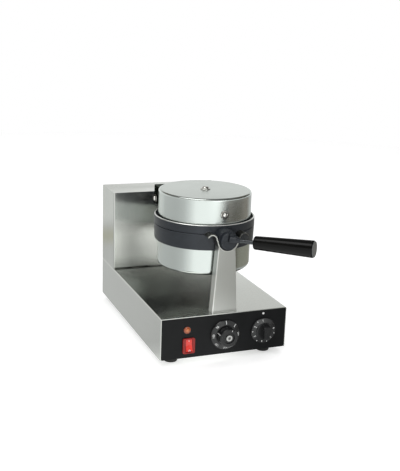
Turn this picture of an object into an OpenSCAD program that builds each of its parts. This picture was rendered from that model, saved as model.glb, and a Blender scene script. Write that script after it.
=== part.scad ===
// Rotary waffle cone maker: a folded stainless base with a rear tower, and a
// round baking head of two hinged plates that turns over about a front hub
// and a rear shaft.
// Frame: millimetres, +Z up, +Y to the back, X = 0 on the centre line,
// Z = 0 on the table, Y = 0 midway between the handle's tip and the cable gland.

/* [Base] */
// Width of the base and of the tower
base_w = 250; // [240:1:300]
// Depth of the base from the panel to the rear wall
base_d = 400; // [390:1:440]
// Height of the base body above the feet
base_h = 79.5; // [76:0.5:95]
// Thickness of the folded stainless sheet
sheet_t = 1.2; // [0.8:0.1:1.6]
// Outer radius of the folded edges
bend_r = 2.6; // [2:0.1:4]
// Height of the rubber feet
foot_h = 14; // [8:0.5:25]
// Radius of the rubber feet
foot_r = 12.5; // [10:0.5:15]
// Distance of each foot's axis from the two edges next to it
foot_inset = 31; // [26:1:45]

/* [Tower] */
// Depth of the tower, front to back
tower_d = 87; // [80:1:100]
// Height of the tower above the base
tower_h = 164; // [158:1:190]
// Shadow gap under the tower's front wall
tower_gap = 2.6; // [1.5:0.1:4]

/* [Head] */
// Distance of the head's centre behind the panel
head_set = 121.5; // [118:0.5:126]
// Height of the turning axis above the base
axis_over_base = 137.5; // [132:0.5:150]
// Outer radius of the two cast plates
plate_r = 96; // [93:0.5:98]
// Height of the plates' parting plane above the turning axis
part_rise = 6; // [4:0.5:8]
// Gap between the closed plates at their rims
plate_gap = 0.3; // [0.2:0.05:0.5]
// Thickness of the cast plates behind the baking faces
plate_t = 10; // [8:0.5:12]
// Height of the upper plate's outer wall
upper_wall_h = 16.5; // [14:0.5:19]
// Height of the lower plate's outer wall
lower_wall_h = 30.5; // [26:0.5:34]
// Thickness of the plates' standing rims
rim_t = 3; // [2:0.5:4]
// Radius of the baking surface
bake_r = 84; // [76:1:86]
// Depth of the baking recess in each plate
bake_depth = 1; // [0.6:0.1:1.6]
// Pitch of the cone grid
grid_pitch = 12; // [11:0.5:18]
// Depth of the grid's V grooves
grid_depth = 1.4; // [1:0.1:2]

/* [Shells] */
// Outer radius of the upper drum shell
upper_shell_r = 88.5; // [86:0.5:90]
// Height of the upper drum shell's top above the turning axis
upper_shell_rise = 70; // [64:0.5:76]
// Outer radius of the lower drum shell
lower_shell_r = 89.5; // [86:0.5:90]
// Distance of the lower drum shell's bottom below the turning axis
lower_shell_drop = 75; // [68:0.5:78]
// Wall of the drum shells
shell_t = 1; // [0.8:0.1:1.4]
// Edge radius of the upper shell's top
upper_edge_r = 4; // [3:0.5:6]
// Edge radius of the lower shell's bottom
lower_edge_r = 9; // [6:0.5:11]
// Angle of the first side screw from the front
screw_turn = 3; // [0:0.5:10]

/* [Front hub] */
// Radius of the hub disc's face
disc_r = 16; // [14:0.5:17]
// Distance of the hub disc's face in front of the panel
disc_out = 5; // [4:0.5:7]
// Radius of the hub collar that turns in the cradle
collar_r = 18.6; // [18:0.2:20]
// Distance of the collar's front behind the panel
collar_set = 3; // [2:0.5:4]
// Running clearance between the collar and the cradle
cradle_clear = 0.3; // [0.2:0.05:0.5]
// Thickness of the cradle's strip
cradle_t = 1.8; // [1.5:0.1:2.4]
// Width of the cradle's strip, front to back
cradle_w = 21; // [18:0.5:22]
// Angle below the axis at which the cradle's seat ends
cradle_open = 18; // [14:1:24]
// Straight rise of the strip between the seat and each horn
horn_rise = 13; // [10:0.5:16]
// Mean radius of the curled horns
horn_r = 8.7; // [7:0.1:10]
// Angle above the level at which each horn ends
horn_end = 28; // [10:1:50]
// Width of the front post at the base
post_w1 = 48.5; // [44:0.5:54]
// Width of the front post under the cradle
post_w2 = 32.5; // [30:0.5:38]
// Depth of the front post's side flanges
post_d = 17; // [14:0.5:18]
// Distance of the post's face behind the panel
post_set = 6; // [4:0.5:7]

/* [Handle] */
// Angle of the handle from the front wall, seen from above
handle_swing = 44; // [40:1:50]
// Rise of the handle towards its tip
handle_rise = 1.7; // [0:0.1:3]
// Height of the handle's root above the turning axis
handle_lift = 2.4; // [2:0.1:4]
// Radius of the handle's steel rod
rod_r = 4; // [3.5:0.1:4.5]
// Distance of the grip's near end from the turning axis
grip_start = 48.5; // [46:0.5:52]
// Length of the grip
grip_l = 109; // [95:1:112]
// Radius of the grip's near end
grip_r1 = 12.3; // [11:0.1:13.5]
// Radius of the grip's far end
grip_r2 = 15.5; // [14.5:0.1:16]

/* [Rear hinge and shaft] */
// Distance of the lid's hinge pin behind the head's centre
hinge_back = 133.5; // [131:0.5:136]
// Radius of the hinge pin
pin_r = 4; // [3.5:0.1:4.5]
// Radius of the hinge knuckles
knuckle_r = 9; // [8:0.5:9]
// Outer radius of the hollow turning shaft
shaft_r = 11; // [10:0.5:12]
// Bore radius of the turning shaft
shaft_bore_r = 7; // [5:0.5:8]
// Radial running clearance of the shaft and the pins
run_clear = 0.05; // [0.02:0.01:0.08]
// Half width of the rear hood
hood_half_w = 65; // [58:0.5:67]
// Height of the hood's top above the turning axis
hood_rise = 59; // [54:0.5:62]

/* [Control panel] */
// Thickness of the panel plate
panel_t = 1.2; // [1:0.1:1.6]
// Height of the two dials' axes above the table
dial_z = 52; // [50:0.5:56]
// Distance of the thermostat dial from the centre line
thermostat_x = 0.5; // [-3:0.5:3]
// Distance of the timer dial from the centre line
timer_x = 78; // [74:0.5:80]
// Radius of the thermostat's skirt
thermostat_skirt_r = 29; // [25:0.5:30]
// Radius of the thermostat's cap
thermostat_cap_r = 18.5; // [16:0.5:20]
// Distance of the thermostat cap's face in front of the panel
thermostat_out = 22; // [18:0.5:26]
// Radius of the timer's skirt
timer_skirt_r = 25; // [22:0.5:26]
// Distance of the timer's bar grip in front of the panel
timer_out = 20; // [17:0.5:24]
// Distance of the power switch from the centre line
switch_x = -71; // [-80:0.5:-65]
// Height of the power switch above the table
switch_z = 38; // [35:0.5:40]
// Height of the power switch's bezel
switch_h = 29.5; // [28:0.5:33]
// Width of the power switch's bezel
switch_w = 23.5; // [22:0.5:26]
// Distance of the indicator lamp from the centre line
lamp_x = -74.5; // [-80:0.5:-65]
// Height of the indicator lamp above the table
lamp_z = 68.5; // [66:0.5:74]
// Radius of the indicator lens
lamp_r = 6.5; // [6:0.5:8]

/* [Cable gland] */
// Radius of the cable passage
gland_bore_r = 5; // [4:0.5:6]
// Length of the gland outside the rear wall
gland_out = 18; // [14:1:22]

/* [Hidden] */
$fn = 48;
fine_fn = 96;
small_fn = 24;

// Heights
base_bottom = foot_h;
base_top = base_bottom + base_h;
axis_z = base_top + axis_over_base;
part_z = axis_z + part_rise;
tower_top = base_top + tower_h;

// Handle: a line that rises gently towards the front right
handle_dir = [cos(handle_rise) * cos(handle_swing),
              -cos(handle_rise) * sin(handle_swing),
              sin(handle_rise)];
end_cap_t = 1.5;
end_cap_r = grip_r2 - 1.4;
end_cap_edge = 0.5;
grip_end = grip_start + grip_l;
// How far a ring of the radius r at the distance s reaches to the front
function forward(s, r) = -handle_dir[1] * s + r * sqrt(1 - pow(handle_dir[1], 2));
handle_reach = max(forward(grip_end + end_cap_t - end_cap_edge, end_cap_r),
                   forward(grip_end + end_cap_t, end_cap_r - end_cap_edge));

// The origin lies midway between the handle's tip and the gland's end
front_y = (handle_reach - base_d - gland_out) / 2;
function fy(d) = front_y + d;
head_y = fy(head_set);
tower_front = fy(base_d - tower_d);
back_y = fy(base_d);

// Front sheet behind the panel
wall_y = fy(panel_t + 0.3);
inner_y = wall_y + sheet_t;
fit = 0.2;

// Plates
upper_face_z = part_z + plate_gap / 2;
lower_face_z = part_z - plate_gap / 2;
upper_back_z = upper_face_z + plate_t;
lower_back_z = lower_face_z - plate_t;
upper_rim_z = upper_face_z + upper_wall_h;
rim_in_r = plate_r - rim_t;
groove_r = (bake_r + plate_r) / 2 - 1;

// Shells
upper_shell_z = axis_z + upper_shell_rise;
lower_shell_z = axis_z - lower_shell_drop;
shell_gap = plate_gap;
upper_screw_z = (upper_back_z + upper_shell_z) / 2 - 3;
lower_screw_z = (lower_back_z + lower_shell_z) / 2;
// One screw at the front of each shell; the lower one has another at the rear
upper_screw_angles = [screw_turn - 90];
lower_screw_angles = [screw_turn - 90, screw_turn + 90];

// Hub, cradle and post
disc_y = fy(-disc_out);
collar_y = fy(collar_set);
cradle_in_r = collar_r + cradle_clear;
cradle_out_r = cradle_in_r + cradle_t;
cradle_mid_r = cradle_in_r + cradle_t / 2;
cradle_lead = 2;
cradle_y = collar_y - cradle_lead;
post_y = fy(post_set);
post_t = 1.5;
post_z2 = axis_z - cradle_out_r * 0.6;

// Hinge and shaft
hinge_y = head_y + hinge_back;
hinge_z = part_z;
arm_in_x = 26;
arm_w = 10;
side_gap = 0.3;
pin_l = 2 * (arm_in_x + arm_w) + 8;
flange_y = hinge_y + 20;
flange_t = 8;
flange_r = 21;
shaft_y1 = flange_y - 6;
housing_t = 6;
housing_l = 18;
housing_y = tower_front - housing_t;
housing_r = 27;
bush_r = shaft_r + 3;
barrel_r = bush_r + 4;
bolt_circle_r = (barrel_r + housing_r) / 2;
bracket_y = tower_front + 39;
bracket_t = 4;
rear_bush_l = 12;
rear_bush_y = bracket_y - 3;
shaft_nut_t = 7;
shaft_nut_y = rear_bush_y + rear_bush_l + side_gap;
shaft_y2 = shaft_nut_y + shaft_nut_t + 2;
collar_t = 10;
stop_y = rear_bush_y - side_gap - collar_t;
lug_h = 10;
collar_out_r = shaft_r + 5.5;
lug_x = collar_out_r + 7.5;
stop_gap = 0.3;
stop_block_w = 16;
stop_x = collar_out_r + 1 + stop_block_w / 2;
stop_block_h = 14;

// Screws
m4_r = 2;
m5_r = 2.5;
m8_r = 4;

// ---- Helpers ----

// Extrudes an X-Z outline along Y, from y0 over the length l
module along_y(y0, l) {
    translate([0, y0 + l, 0]) rotate([90, 0, 0]) linear_extrude(l) children();
}

// Extrudes a Y-Z outline along X, from x0 over the length l
module along_x(x0, l) {
    translate([x0, 0, 0]) rotate([90, 0, 90]) linear_extrude(l) children();
}

// A round rod along Y
module rod_y(x, y0, z, r, l) {
    translate([x, y0, z]) rotate([-90, 0, 0]) cylinder(r = r, h = l);
}

// A round rod along X, centred on X = 0 unless x0 is given
module rod_x(x0, y, z, r, l) {
    translate([x0, y, z]) rotate([0, 90, 0]) cylinder(r = r, h = l);
}

// A rectangle centred on X, standing on Y = 0, with its two top corners rounded
module folded_outline(w, h, r) {
    translate([-w / 2, 0]) square([w, h - r]);
    translate([-w / 2 + r, 0]) square([w - 2 * r, h]);
    for (s = [-1, 1]) translate([s * (w / 2 - r), h - r]) circle(r = r);
}

// A rectangle centred on both axes with four rounded corners
module round_rect(w, h, r) {
    square([w - 2 * r, h], center = true);
    square([w, h - 2 * r], center = true);
    for (sx = [-1, 1], sy = [-1, 1])
        translate([sx * (w / 2 - r), sy * (h / 2 - r)]) circle(r = r);
}

// A pan head screw: its head's seat at Z = 0, the shank going down
module pan_screw(r, l, head_r, head_h) {
    translate([0, 0, -l]) cylinder(r = r, h = l, $fn = small_fn);
    rotate_extrude($fn = small_fn) pan_profile(head_r, head_h);
}

// Half section of a pan head with a rounded top edge
module pan_profile(head_r, head_h) {
    e = head_h * 0.6;
    square([head_r, head_h - e]);
    square([head_r - e, head_h]);
    translate([head_r - e, head_h - e]) intersection() {
        circle(r = e, $fn = small_fn);
        square(e);
    }
}

// A hexagon prism by its width across flats
module hex(af, h) {
    cylinder(r = af / 2 / cos(30), h = h, $fn = 6);
}

// Places children at one point of the head's circle, facing outwards
module on_drum(angle, r, z) {
    translate([0, head_y, z]) rotate([0, 0, angle]) translate([r, 0, 0])
        rotate([0, 90, 0]) children();
}

// Places children on the handle's line at the distance s from the turning axis
module on_handle(s) {
    translate([0, fy(0), axis_z + handle_lift] + handle_dir * s)
        rotate([0, 90 - handle_rise, -handle_swing]) children();
}

// ---- Base ----

vent_n = 7;
vent_pitch = 9;
vent_l = 90;
vent_w = 5;
slot_w = 4;
bottom_screw_in = 60;

// Wrapped sheet with front and rear walls and return flanges at the bottom
module base_shell() {
    flange_w = 14;
    color([0.74, 0.76, 0.77]) difference() {
        union() {
            translate([0, 0, base_bottom]) along_y(fy(0), base_d) difference() {
                folded_outline(base_w, base_h, bend_r);
                folded_outline(base_w - 2 * sheet_t, base_h - sheet_t, bend_r - sheet_t);
            }
            for (y = [wall_y, back_y - sheet_t])
                translate([0, 0, base_bottom]) along_y(y, sheet_t)
                    folded_outline(base_w - sheet_t, base_h - sheet_t / 2, bend_r / 2);
            for (m = [0, 1]) mirror([m, 0, 0])
                translate([base_w / 2 - flange_w, inner_y, base_bottom + sheet_t + fit])
                    cube([flange_w - sheet_t / 2, back_y - sheet_t - inner_y, sheet_t]);
        }
        panel_cuts(wall_y - 1, sheet_t + 2, 0.5);
        rod_y(gland_x, back_y - 5, gland_z, gland_thread_r + fit, 10);
        translate([0, back_y - wire_hole_in, base_top - sheet_t - 1])
            cylinder(r = wire_hole_r, h = sheet_t + 2);
        bottom_screw_places() translate([0, 0, -1]) cylinder(r = m4_r + fit, h = 6);
        post_screw_places() translate([0, 0, -6]) cylinder(r = m5_r + fit, h = 8);
    }
}
wire_hole_r = 12;
wire_hole_in = 24;

// Six screws along the two return flanges
module bottom_screw_places() {
    screw_run = back_y - sheet_t - inner_y - 2 * bottom_screw_in;
    for (s = [-1, 1], i = [0:2])
        translate([s * (base_w / 2 - 8), inner_y + bottom_screw_in + i * screw_run / 2,
                   base_bottom])
            children();
}

// Flat sheet with vent slots that closes the base from below
module bottom_plate() {
    plate_w = base_w - 2 * (sheet_t + fit);
    plate_l = back_y - sheet_t - inner_y - 2 * fit;
    color([0.70, 0.72, 0.73]) difference() {
        translate([-plate_w / 2, inner_y + fit, base_bottom]) cube([plate_w, plate_l, sheet_t]);
        foot_places() translate([0, 0, -1]) cylinder(r = m5_r + fit, h = sheet_t + 2);
        bottom_screw_places() translate([0, 0, -1]) cylinder(r = m4_r + fit, h = sheet_t + 2);
        for (i = [0:vent_n - 1])
            translate([0, head_y + (i - (vent_n - 1) / 2) * vent_pitch * 1.5, base_bottom - 1])
                linear_extrude(sheet_t + 2) round_rect(vent_l, vent_w, vent_w / 2 - 0.1);
    }
}

module bottom_screws() {
    color([0.8, 0.8, 0.8]) bottom_screw_places()
        mirror([0, 0, 1]) pan_screw(m4_r, 7, 3.6, 2.2);
}

module foot_places() {
    for (sx = [-1, 1], y = [fy(foot_inset), back_y - foot_inset])
        translate([sx * (base_w / 2 - foot_inset), y, base_bottom]) children();
}

foot_seat_h = 5;
foot_seat_r = 5.5;

// Round rubber feet with a recess for the screw's head
module rubber_feet() {
    edge = 0.8;
    color([0.05, 0.05, 0.05]) foot_places() rotate_extrude()
        polygon([[m5_r + fit, 0], [foot_r, 0], [foot_r, edge - foot_h],
                 [foot_r - edge, -foot_h], [foot_seat_r, -foot_h], [foot_seat_r, -foot_seat_h],
                 [m5_r + fit, -foot_seat_h]]);
}

// Screws up through the feet, each with its nut on the bottom plate
module foot_screws() {
    color([0.8, 0.8, 0.8]) foot_places() {
        translate([0, 0, -foot_seat_h]) mirror([0, 0, 1])
            pan_screw(m5_r, foot_seat_h + sheet_t + 6, 4.5, 3);
        translate([0, 0, sheet_t]) difference() {
            hex(8, 4);
            translate([0, 0, -1]) cylinder(r = m5_r, h = 6, $fn = small_fn);
        }
    }
}

// ---- Control panel ----

timer_body_r = 24;
timer_body_l = 32;
dial_bush_r = 5;
dial_shaft_r = 3;
dial_shaft_in = 12;
dial_shaft_out = 12;
dial_seat = 4;
skirt_gap = 0.6;
panel_face = wall_y - panel_t;
bush_front = panel_face - skirt_gap / 2;
shaft_hole_l = wall_y + dial_shaft_in - bush_front + 2;
lamp_hole_r = lamp_r - 1;
switch_body_w = switch_w - 3;
switch_body_h = switch_h - 2.5;

// The openings that the panel and the front wall share
module panel_cuts(y0, l, clear) {
    rod_y(thermostat_x, y0, dial_z, dial_bush_r + clear, l);
    rod_y(timer_x, y0, dial_z, dial_bush_r + clear, l);
    rod_y(lamp_x, y0, lamp_z, lamp_hole_r + clear, l);
    along_y(y0, l) translate([switch_x, switch_z])
        square([switch_body_w + 2 * clear, switch_body_h + 2 * clear], center = true);
}

// Black plate set inside the sheet's rim, its right corners rounded
module front_panel() {
    panel_w = base_w - 2 * (sheet_t + fit);
    panel_h = base_h - sheet_t - 2 * fit;
    color([0.12, 0.12, 0.13]) difference() {
        translate([0, 0, base_bottom + fit + panel_h / 2]) along_y(wall_y - panel_t, panel_t)
            round_rect(panel_w, panel_h, 3);
        panel_cuts(wall_y - panel_t - 1, panel_t + 2, 0.2);
    }
}

// Capillary thermostat behind the panel, with its threaded bush
module thermostat_body() {
    color([0.85, 0.83, 0.78]) difference() {
        union() {
            translate([thermostat_x - 18, inner_y, dial_z - 22]) cube([36, 20, 44]);
            translate([thermostat_x - 12, inner_y + 20, dial_z - 15]) cube([24, 10, 30]);
            rod_y(thermostat_x, bush_front, dial_z, dial_bush_r, inner_y - bush_front);
        }
        rod_y(thermostat_x, bush_front - 1, dial_z, dial_shaft_r + run_clear, shaft_hole_l);
    }
}

// Clockwork timer behind the panel
module timer_body() {
    color([0.82, 0.82, 0.80]) difference() {
        union() {
            rod_y(timer_x, inner_y, dial_z, timer_body_r, timer_body_l);
            rod_y(timer_x, bush_front, dial_z, dial_bush_r, inner_y - bush_front);
        }
        rod_y(timer_x, bush_front - 1, dial_z, dial_shaft_r + run_clear, shaft_hole_l);
    }
}

rocker_half_l = 10.9;
rocker_w = 11.8;
rocker_window_w = 12.6;
rocker_window_h = 25;
rocker_y = wall_y + 2;
rocker_tilt = 12;
bezel_t = 3;
rocker_pin_r = 1.5;
rocker_pin_l = 16;

// Switch housing with its bezel and the window for the rocker
module switch_body() {
    color([0.55, 0.05, 0.04]) difference() {
        union() {
            translate([switch_x, 0, switch_z]) {
                along_y(wall_y - panel_t - bezel_t, bezel_t) round_rect(switch_w, switch_h, 3);
                along_y(wall_y - panel_t, 22) round_rect(switch_body_w, switch_body_h, 1);
            }
        }
        translate([switch_x, 0, switch_z]) along_y(wall_y - panel_t - bezel_t - 1, 15)
            square([rocker_window_w, rocker_window_h], center = true);
        rod_x(switch_x - rocker_pin_l / 2 - 0.5, rocker_y, switch_z, rocker_pin_r + run_clear,
              rocker_pin_l + 1);
    }
}

// Lamp holder behind the panel
module indicator_body() {
    color([0.15, 0.15, 0.15]) {
        rod_y(lamp_x, wall_y - panel_t, lamp_z, lamp_hole_r, panel_t + sheet_t + 14);
        rod_y(lamp_x, inner_y, lamp_z, lamp_hole_r + 2, 3);
    }
}

// Domed amber lens with a stepped foot
module indicator_lens() {
    color([0.85, 0.42, 0.12]) translate([lamp_x, wall_y - panel_t, lamp_z])
        rotate([90, 0, 0]) rotate_extrude() {
            square([lamp_r, 1.5]);
            intersection() {
                translate([0, -lamp_r * 0.35]) circle(r = lamp_r * 1.05);
                square([lamp_r - 0.6, lamp_r]);
            }
        }
}

// Thermostat skirt: a dished ring that carries the scale
module thermostat_dial() {
    r = thermostat_skirt_r;
    cap_r = thermostat_cap_r;
    color([0.10, 0.10, 0.11]) translate([thermostat_x, panel_face - skirt_gap, dial_z])
        rotate([90, 0, 0]) rotate_extrude($fn = fine_fn)
            polygon([[dial_shaft_r + fit, 0], [r, 0], [r, 1.5], [r - 1, 3], [cap_r + 2, 6],
                     [cap_r - 1, 6], [cap_r - 1, dial_seat], [dial_shaft_r + fit, dial_seat]]);
}

// Thermostat cap: a plain round knob with a recessed face and a centre button
module thermostat_cap() {
    h = thermostat_out - skirt_gap - dial_seat;
    r = thermostat_cap_r;
    color([0.06, 0.06, 0.06]) translate([thermostat_x, panel_face - skirt_gap - dial_seat, dial_z])
        rotate([90, 0, 0]) difference() {
            rotate_extrude($fn = fine_fn)
                polygon([[0, 0], [r - 1.2, 0], [r - 1.2, 2.5], [r, 3], [r - 0.6, h - 1.5],
                         [r - 2, h], [10.5, h], [9.5, h - 2], [6.3, h - 2], [6.3, h - 0.6],
                         [5.6, h], [0, h]]);
            translate([0, 0, -1]) cylinder(r = dial_shaft_r, h = dial_shaft_out - dial_seat + 1);
        }
}

// A plain shaft from inside a dial to its control behind the panel
module dial_shaft(x) {
    y1 = panel_face - skirt_gap - dial_shaft_out;
    color([0.8, 0.8, 0.8]) rod_y(x, y1, dial_z, dial_shaft_r, wall_y + dial_shaft_in - y1);
}

module thermostat_shaft() {
    dial_shaft(thermostat_x);
}

// Timer dial: a bevelled skirt, a raised disc and a tapered bar grip
module timer_dial() {
    r = timer_skirt_r;
    h = timer_out - skirt_gap;
    color([0.10, 0.10, 0.11]) translate([timer_x, panel_face - skirt_gap, dial_z])
        rotate([90, 0, 0]) difference() {
            union() {
                rotate_extrude($fn = fine_fn)
                    polygon([[0, 0], [r, 0], [r, 2], [r - 0.8, 3], [16.5, 5.5], [16, 7.5],
                             [15, 8], [0, 8]]);
                intersection() {
                    rotate_extrude()
                        polygon([[0, 0], [14.8, 0], [14.8, 8], [12.9, h - 1], [12, h], [0, h]]);
                    linear_extrude(h) polygon([[-5.2, -16], [5.2, -16], [6.2, 16], [-6.2, 16]]);
                }
            }
            translate([0, 0, -1]) cylinder(r = dial_shaft_r, h = dial_shaft_out + 1);
        }
}

module timer_shaft() {
    dial_shaft(timer_x);
}

// Rocker: two flat faces that meet over the pivot, tilted with its top pressed in
module switch_rocker() {
    face = 5.5;
    drop = rocker_half_l * tan(rocker_tilt);
    color([0.85, 0.10, 0.08]) translate([switch_x, rocker_y, switch_z]) rotate([-rocker_tilt, 0, 0]) {
        along_x(-rocker_w / 2, rocker_w)
            polygon([[-face, 0], [-face - drop, rocker_half_l], [-face + 4, rocker_half_l],
                     [2.6, 2.5], [2.6, -2.5], [-face + 4, -rocker_half_l],
                     [-face - drop, -rocker_half_l]]);
        rod_x(-rocker_pin_l / 2, 0, 0, rocker_pin_r, rocker_pin_l);
    }
}

// ---- Rear of the base ----

gland_x = -70;
gland_z = base_bottom + 26;
gland_thread_r = 8;
gland_hex = 22;
gland_in = 10;

// Cable gland: threaded body, flange and dome nut around the cable passage
module cable_gland() {
    nut_l = gland_out - 6;
    color([0.08, 0.08, 0.08]) translate([gland_x, back_y, gland_z]) rotate([-90, 0, 0])
        difference() {
            union() {
                translate([0, 0, -gland_in]) cylinder(r = gland_thread_r, h = gland_in + 2);
                hex(gland_hex, 6);
                translate([0, 0, 6]) rotate_extrude()
                    polygon([[0, 0], [10.5, 0], [10.5, nut_l - 6], [8, nut_l - 1.5],
                             [6.5, nut_l], [0, nut_l]]);
            }
            translate([0, 0, -gland_in - 1]) cylinder(r = gland_bore_r, h = gland_in + gland_out + 2);
        }
}

module gland_nut() {
    color([0.10, 0.10, 0.10]) translate([gland_x, back_y - sheet_t, gland_z])
        rotate([90, 0, 0]) difference() {
            hex(gland_hex, 5);
            translate([0, 0, -1]) cylinder(r = gland_thread_r, h = 7);
        }
}

// Two-pole terminal block on the bottom plate
module terminal_block() {
    n = 4;
    pole = 12;
    d = 20;
    h = 16;
    color([0.88, 0.86, 0.80])
        translate([-n * pole / 2, back_y - 70, base_bottom + sheet_t]) difference() {
            union() {
                cube([n * pole, d, h / 2]);
                for (i = [0:n - 1]) translate([i * pole + 1.5, 0, h / 2]) cube([pole - 3, d, h / 2]);
            }
            for (i = [0:n - 1], y = [d / 4, d * 3 / 4])
                translate([(i + 0.5) * pole, y, h / 2 + 1]) cylinder(r = 2.5, h = h / 2, $fn = small_fn);
        }
}

// ---- Tower ----

// Plan outline of the tower, its front edge at Y = 0, the front corners rounded
module tower_plan(w, d, r) {
    translate([0, d]) mirror([0, 1]) folded_outline(w, d, r);
}

// Folded tower: front and side walls with a flush top, open to the rear
module tower_shell() {
    color([0.76, 0.78, 0.78]) difference() {
        translate([0, tower_front, base_top]) linear_extrude(tower_h)
            tower_plan(base_w, tower_d, bend_r);
        translate([0, tower_front + sheet_t, base_top - 1]) linear_extrude(tower_h + 1 - sheet_t)
            tower_plan(base_w - 2 * sheet_t, tower_d, bend_r - sheet_t);
        translate([-base_w / 2 + bend_r, tower_front - 1, base_top - 1])
            cube([base_w - 2 * bend_r, sheet_t + 2, tower_gap + 1]);
        rod_y(0, tower_front - 1, axis_z, barrel_r + fit, sheet_t + 2);
        housing_bolt_places() translate([0, 0, -15]) cylinder(r = m5_r + fit, h = 20);
    }
}

cover_slot_w = 70;

// Rear cover of the tower with rows of vent slots and a folded edge
module tower_back_cover() {
    cover_w = base_w - 2 * (sheet_t + fit);
    cover_h = tower_h - sheet_t - 2 * fit;
    color([0.72, 0.74, 0.75]) difference() {
        union() {
            translate([-cover_w / 2, back_y - sheet_t, base_top + fit])
                cube([cover_w, sheet_t, cover_h]);
            for (s = [-1, 1])
                translate([s * (cover_w / 2 - sheet_t / 2) - sheet_t / 2, back_y - 14, base_top + fit])
                    cube([sheet_t, 14, cover_h]);
        }
        for (sx = [-1, 1], i = [0:vent_n - 1])
            translate([sx * 52, 0, base_top + 50 + i * vent_pitch])
                along_y(back_y - sheet_t - 1, sheet_t + 2)
                    round_rect(cover_slot_w, slot_w, slot_w / 2 - 0.1);
        cover_screw_places() translate([0, 0, -3]) cylinder(r = m4_r + fit, h = 5);
    }
}

// Screws through the rear edge of the cover, their heads facing back
module cover_screw_places() {
    for (sx = [-1, 1], z = [12, tower_h - 12])
        translate([sx * (base_w / 2 - 12), back_y, base_top + z]) rotate([-90, 0, 0]) children();
    for (sx = [-1, 1])
        translate([sx * 45, back_y, tower_top - 12]) rotate([-90, 0, 0]) children();
}

module back_cover_screws() {
    color([0.82, 0.82, 0.82]) cover_screw_places() pan_screw(m4_r, 8, 3.8, 2.4);
}

// Bracket foot on the base, upright plate and boss for the rear bush
module bearing_bracket() {
    bracket_w = 84;
    foot_y = tower_front + 6;
    top_half = barrel_r + 12;
    color([0.45, 0.46, 0.48]) difference() {
        union() {
            translate([-bracket_w / 2, foot_y, base_top])
                cube([bracket_w, bracket_y + bracket_t - foot_y, bracket_t]);
            along_y(bracket_y, bracket_t) polygon([
                [-bracket_w / 2, base_top], [bracket_w / 2, base_top],
                [bracket_w / 2, axis_z - barrel_r], [top_half, axis_z + barrel_r + 4],
                [-top_half, axis_z + barrel_r + 4], [-bracket_w / 2, axis_z - barrel_r]]);
            rod_y(0, rear_bush_y, axis_z, barrel_r, rear_bush_l);
            for (s = [-1, 1])
                translate([s * (bracket_w - bracket_t) / 2 - bracket_t / 2, 0, 0])
                    along_x(0, bracket_t) polygon([[bracket_y, base_top],
                        [bracket_y, (base_top + axis_z) / 2], [foot_y, base_top]]);
        }
        rod_y(0, rear_bush_y - 1, axis_z, bush_r, rear_bush_l + 2);
        stop_screw_places() translate([0, 0, -1]) cylinder(r = m5_r, h = bracket_t + 2);
    }
}

module housing_bolt_places() {
    for (a = [45:90:315])
        translate([bolt_circle_r * cos(a), housing_y, axis_z + bolt_circle_r * sin(a)])
            rotate([90, 0, 0]) children();
}

// Flanged housing on the tower's face, with a barrel through the sheet
module bearing_housing() {
    color([0.62, 0.64, 0.66]) difference() {
        union() {
            translate([0, housing_y, axis_z]) rotate([-90, 0, 0]) rotate_extrude($fn = fine_fn)
                polygon([[0, 0], [housing_r - 1.5, 0], [housing_r, 1.5],
                         [housing_r, housing_t], [barrel_r, housing_t],
                         [barrel_r, housing_l], [0, housing_l]]);
        }
        rod_y(0, housing_y - 1, axis_z, bush_r, housing_l + 2);
        housing_bolt_places() translate([0, 0, -housing_t - 1])
            cylinder(r = m5_r + fit, h = housing_t + 2);
    }
}

module housing_bolts() {
    color([0.82, 0.82, 0.82]) housing_bolt_places() {
        translate([0, 0, -housing_t - 8]) cylinder(r = m5_r, h = housing_t + 8, $fn = small_fn);
        hex(8, 3.5);
    }
}

// Two plain bushes, one in the housing and one in the bracket
module shaft_bushes() {
    color([0.72, 0.52, 0.25]) for (p = [[housing_y, housing_l], [rear_bush_y, rear_bush_l]])
        difference() {
            rod_y(0, p[0], axis_z, bush_r, p[1]);
            rod_y(0, p[0] - 1, axis_z, shaft_r + run_clear, p[1] + 2);
        }
}

module stop_screw_places() {
    for (s = [-1, 1])
        translate([s * stop_x, bracket_y, axis_z - (lug_h + stop_block_h) / 2 - stop_gap])
            rotate([-90, 0, 0]) children();
}

// Two blocks that the collar's lug meets after each half turn
module stop_blocks() {
    color([0.40, 0.41, 0.43]) {
        for (s = [-1, 1])
            translate([s * stop_x - stop_block_w / 2, stop_y,
                       axis_z - lug_h / 2 - stop_gap - stop_block_h])
                cube([stop_block_w, bracket_y - stop_y, stop_block_h]);
        stop_screw_places() cylinder(r = m5_r, h = bracket_t, $fn = small_fn);
        stop_screw_places() translate([0, 0, bracket_t]) hex(8, 3.5);
    }
}

// ---- Front post ----

// Half width of the post's face at the height z
function post_half(z) = post_w1 / 2 + (post_w2 - post_w1) / 2 * (z - base_top) / (post_z2 - base_top);

module post_outline(inset) {
    top = axis_z;
    polygon([[-post_half(base_top) + inset, base_top], [post_half(base_top) - inset, base_top],
             [post_half(top) - inset, top], [-post_half(top) + inset, top]]);
}

module post_screw_places() {
    for (s = [-1, 1])
        translate([s * 12, post_y + post_d / 2 + 1, base_top + post_t]) children();
}

// Tapered channel with folded flanges, saddled under the cradle
module front_post() {
    color([0.72, 0.72, 0.70]) difference() {
        union() {
            difference() {
                along_y(post_y, post_d) post_outline(0);
                along_y(post_y + post_t, post_d) post_outline(post_t);
            }
            translate([-post_half(base_top) + post_t / 2, post_y + post_t / 2, base_top])
                cube([post_w1 - post_t, post_d - post_t / 2, post_t]);
        }
        rod_y(0, post_y - 1, axis_z, cradle_out_r, post_d + 2);
        translate([-post_w1, post_y - 1, post_z2]) cube([2 * post_w1, post_d + 2, axis_z]);
        post_screw_places() translate([0, 0, -post_t - 1])
            cylinder(r = m5_r + fit, h = post_t + 2);
    }
}

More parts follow.
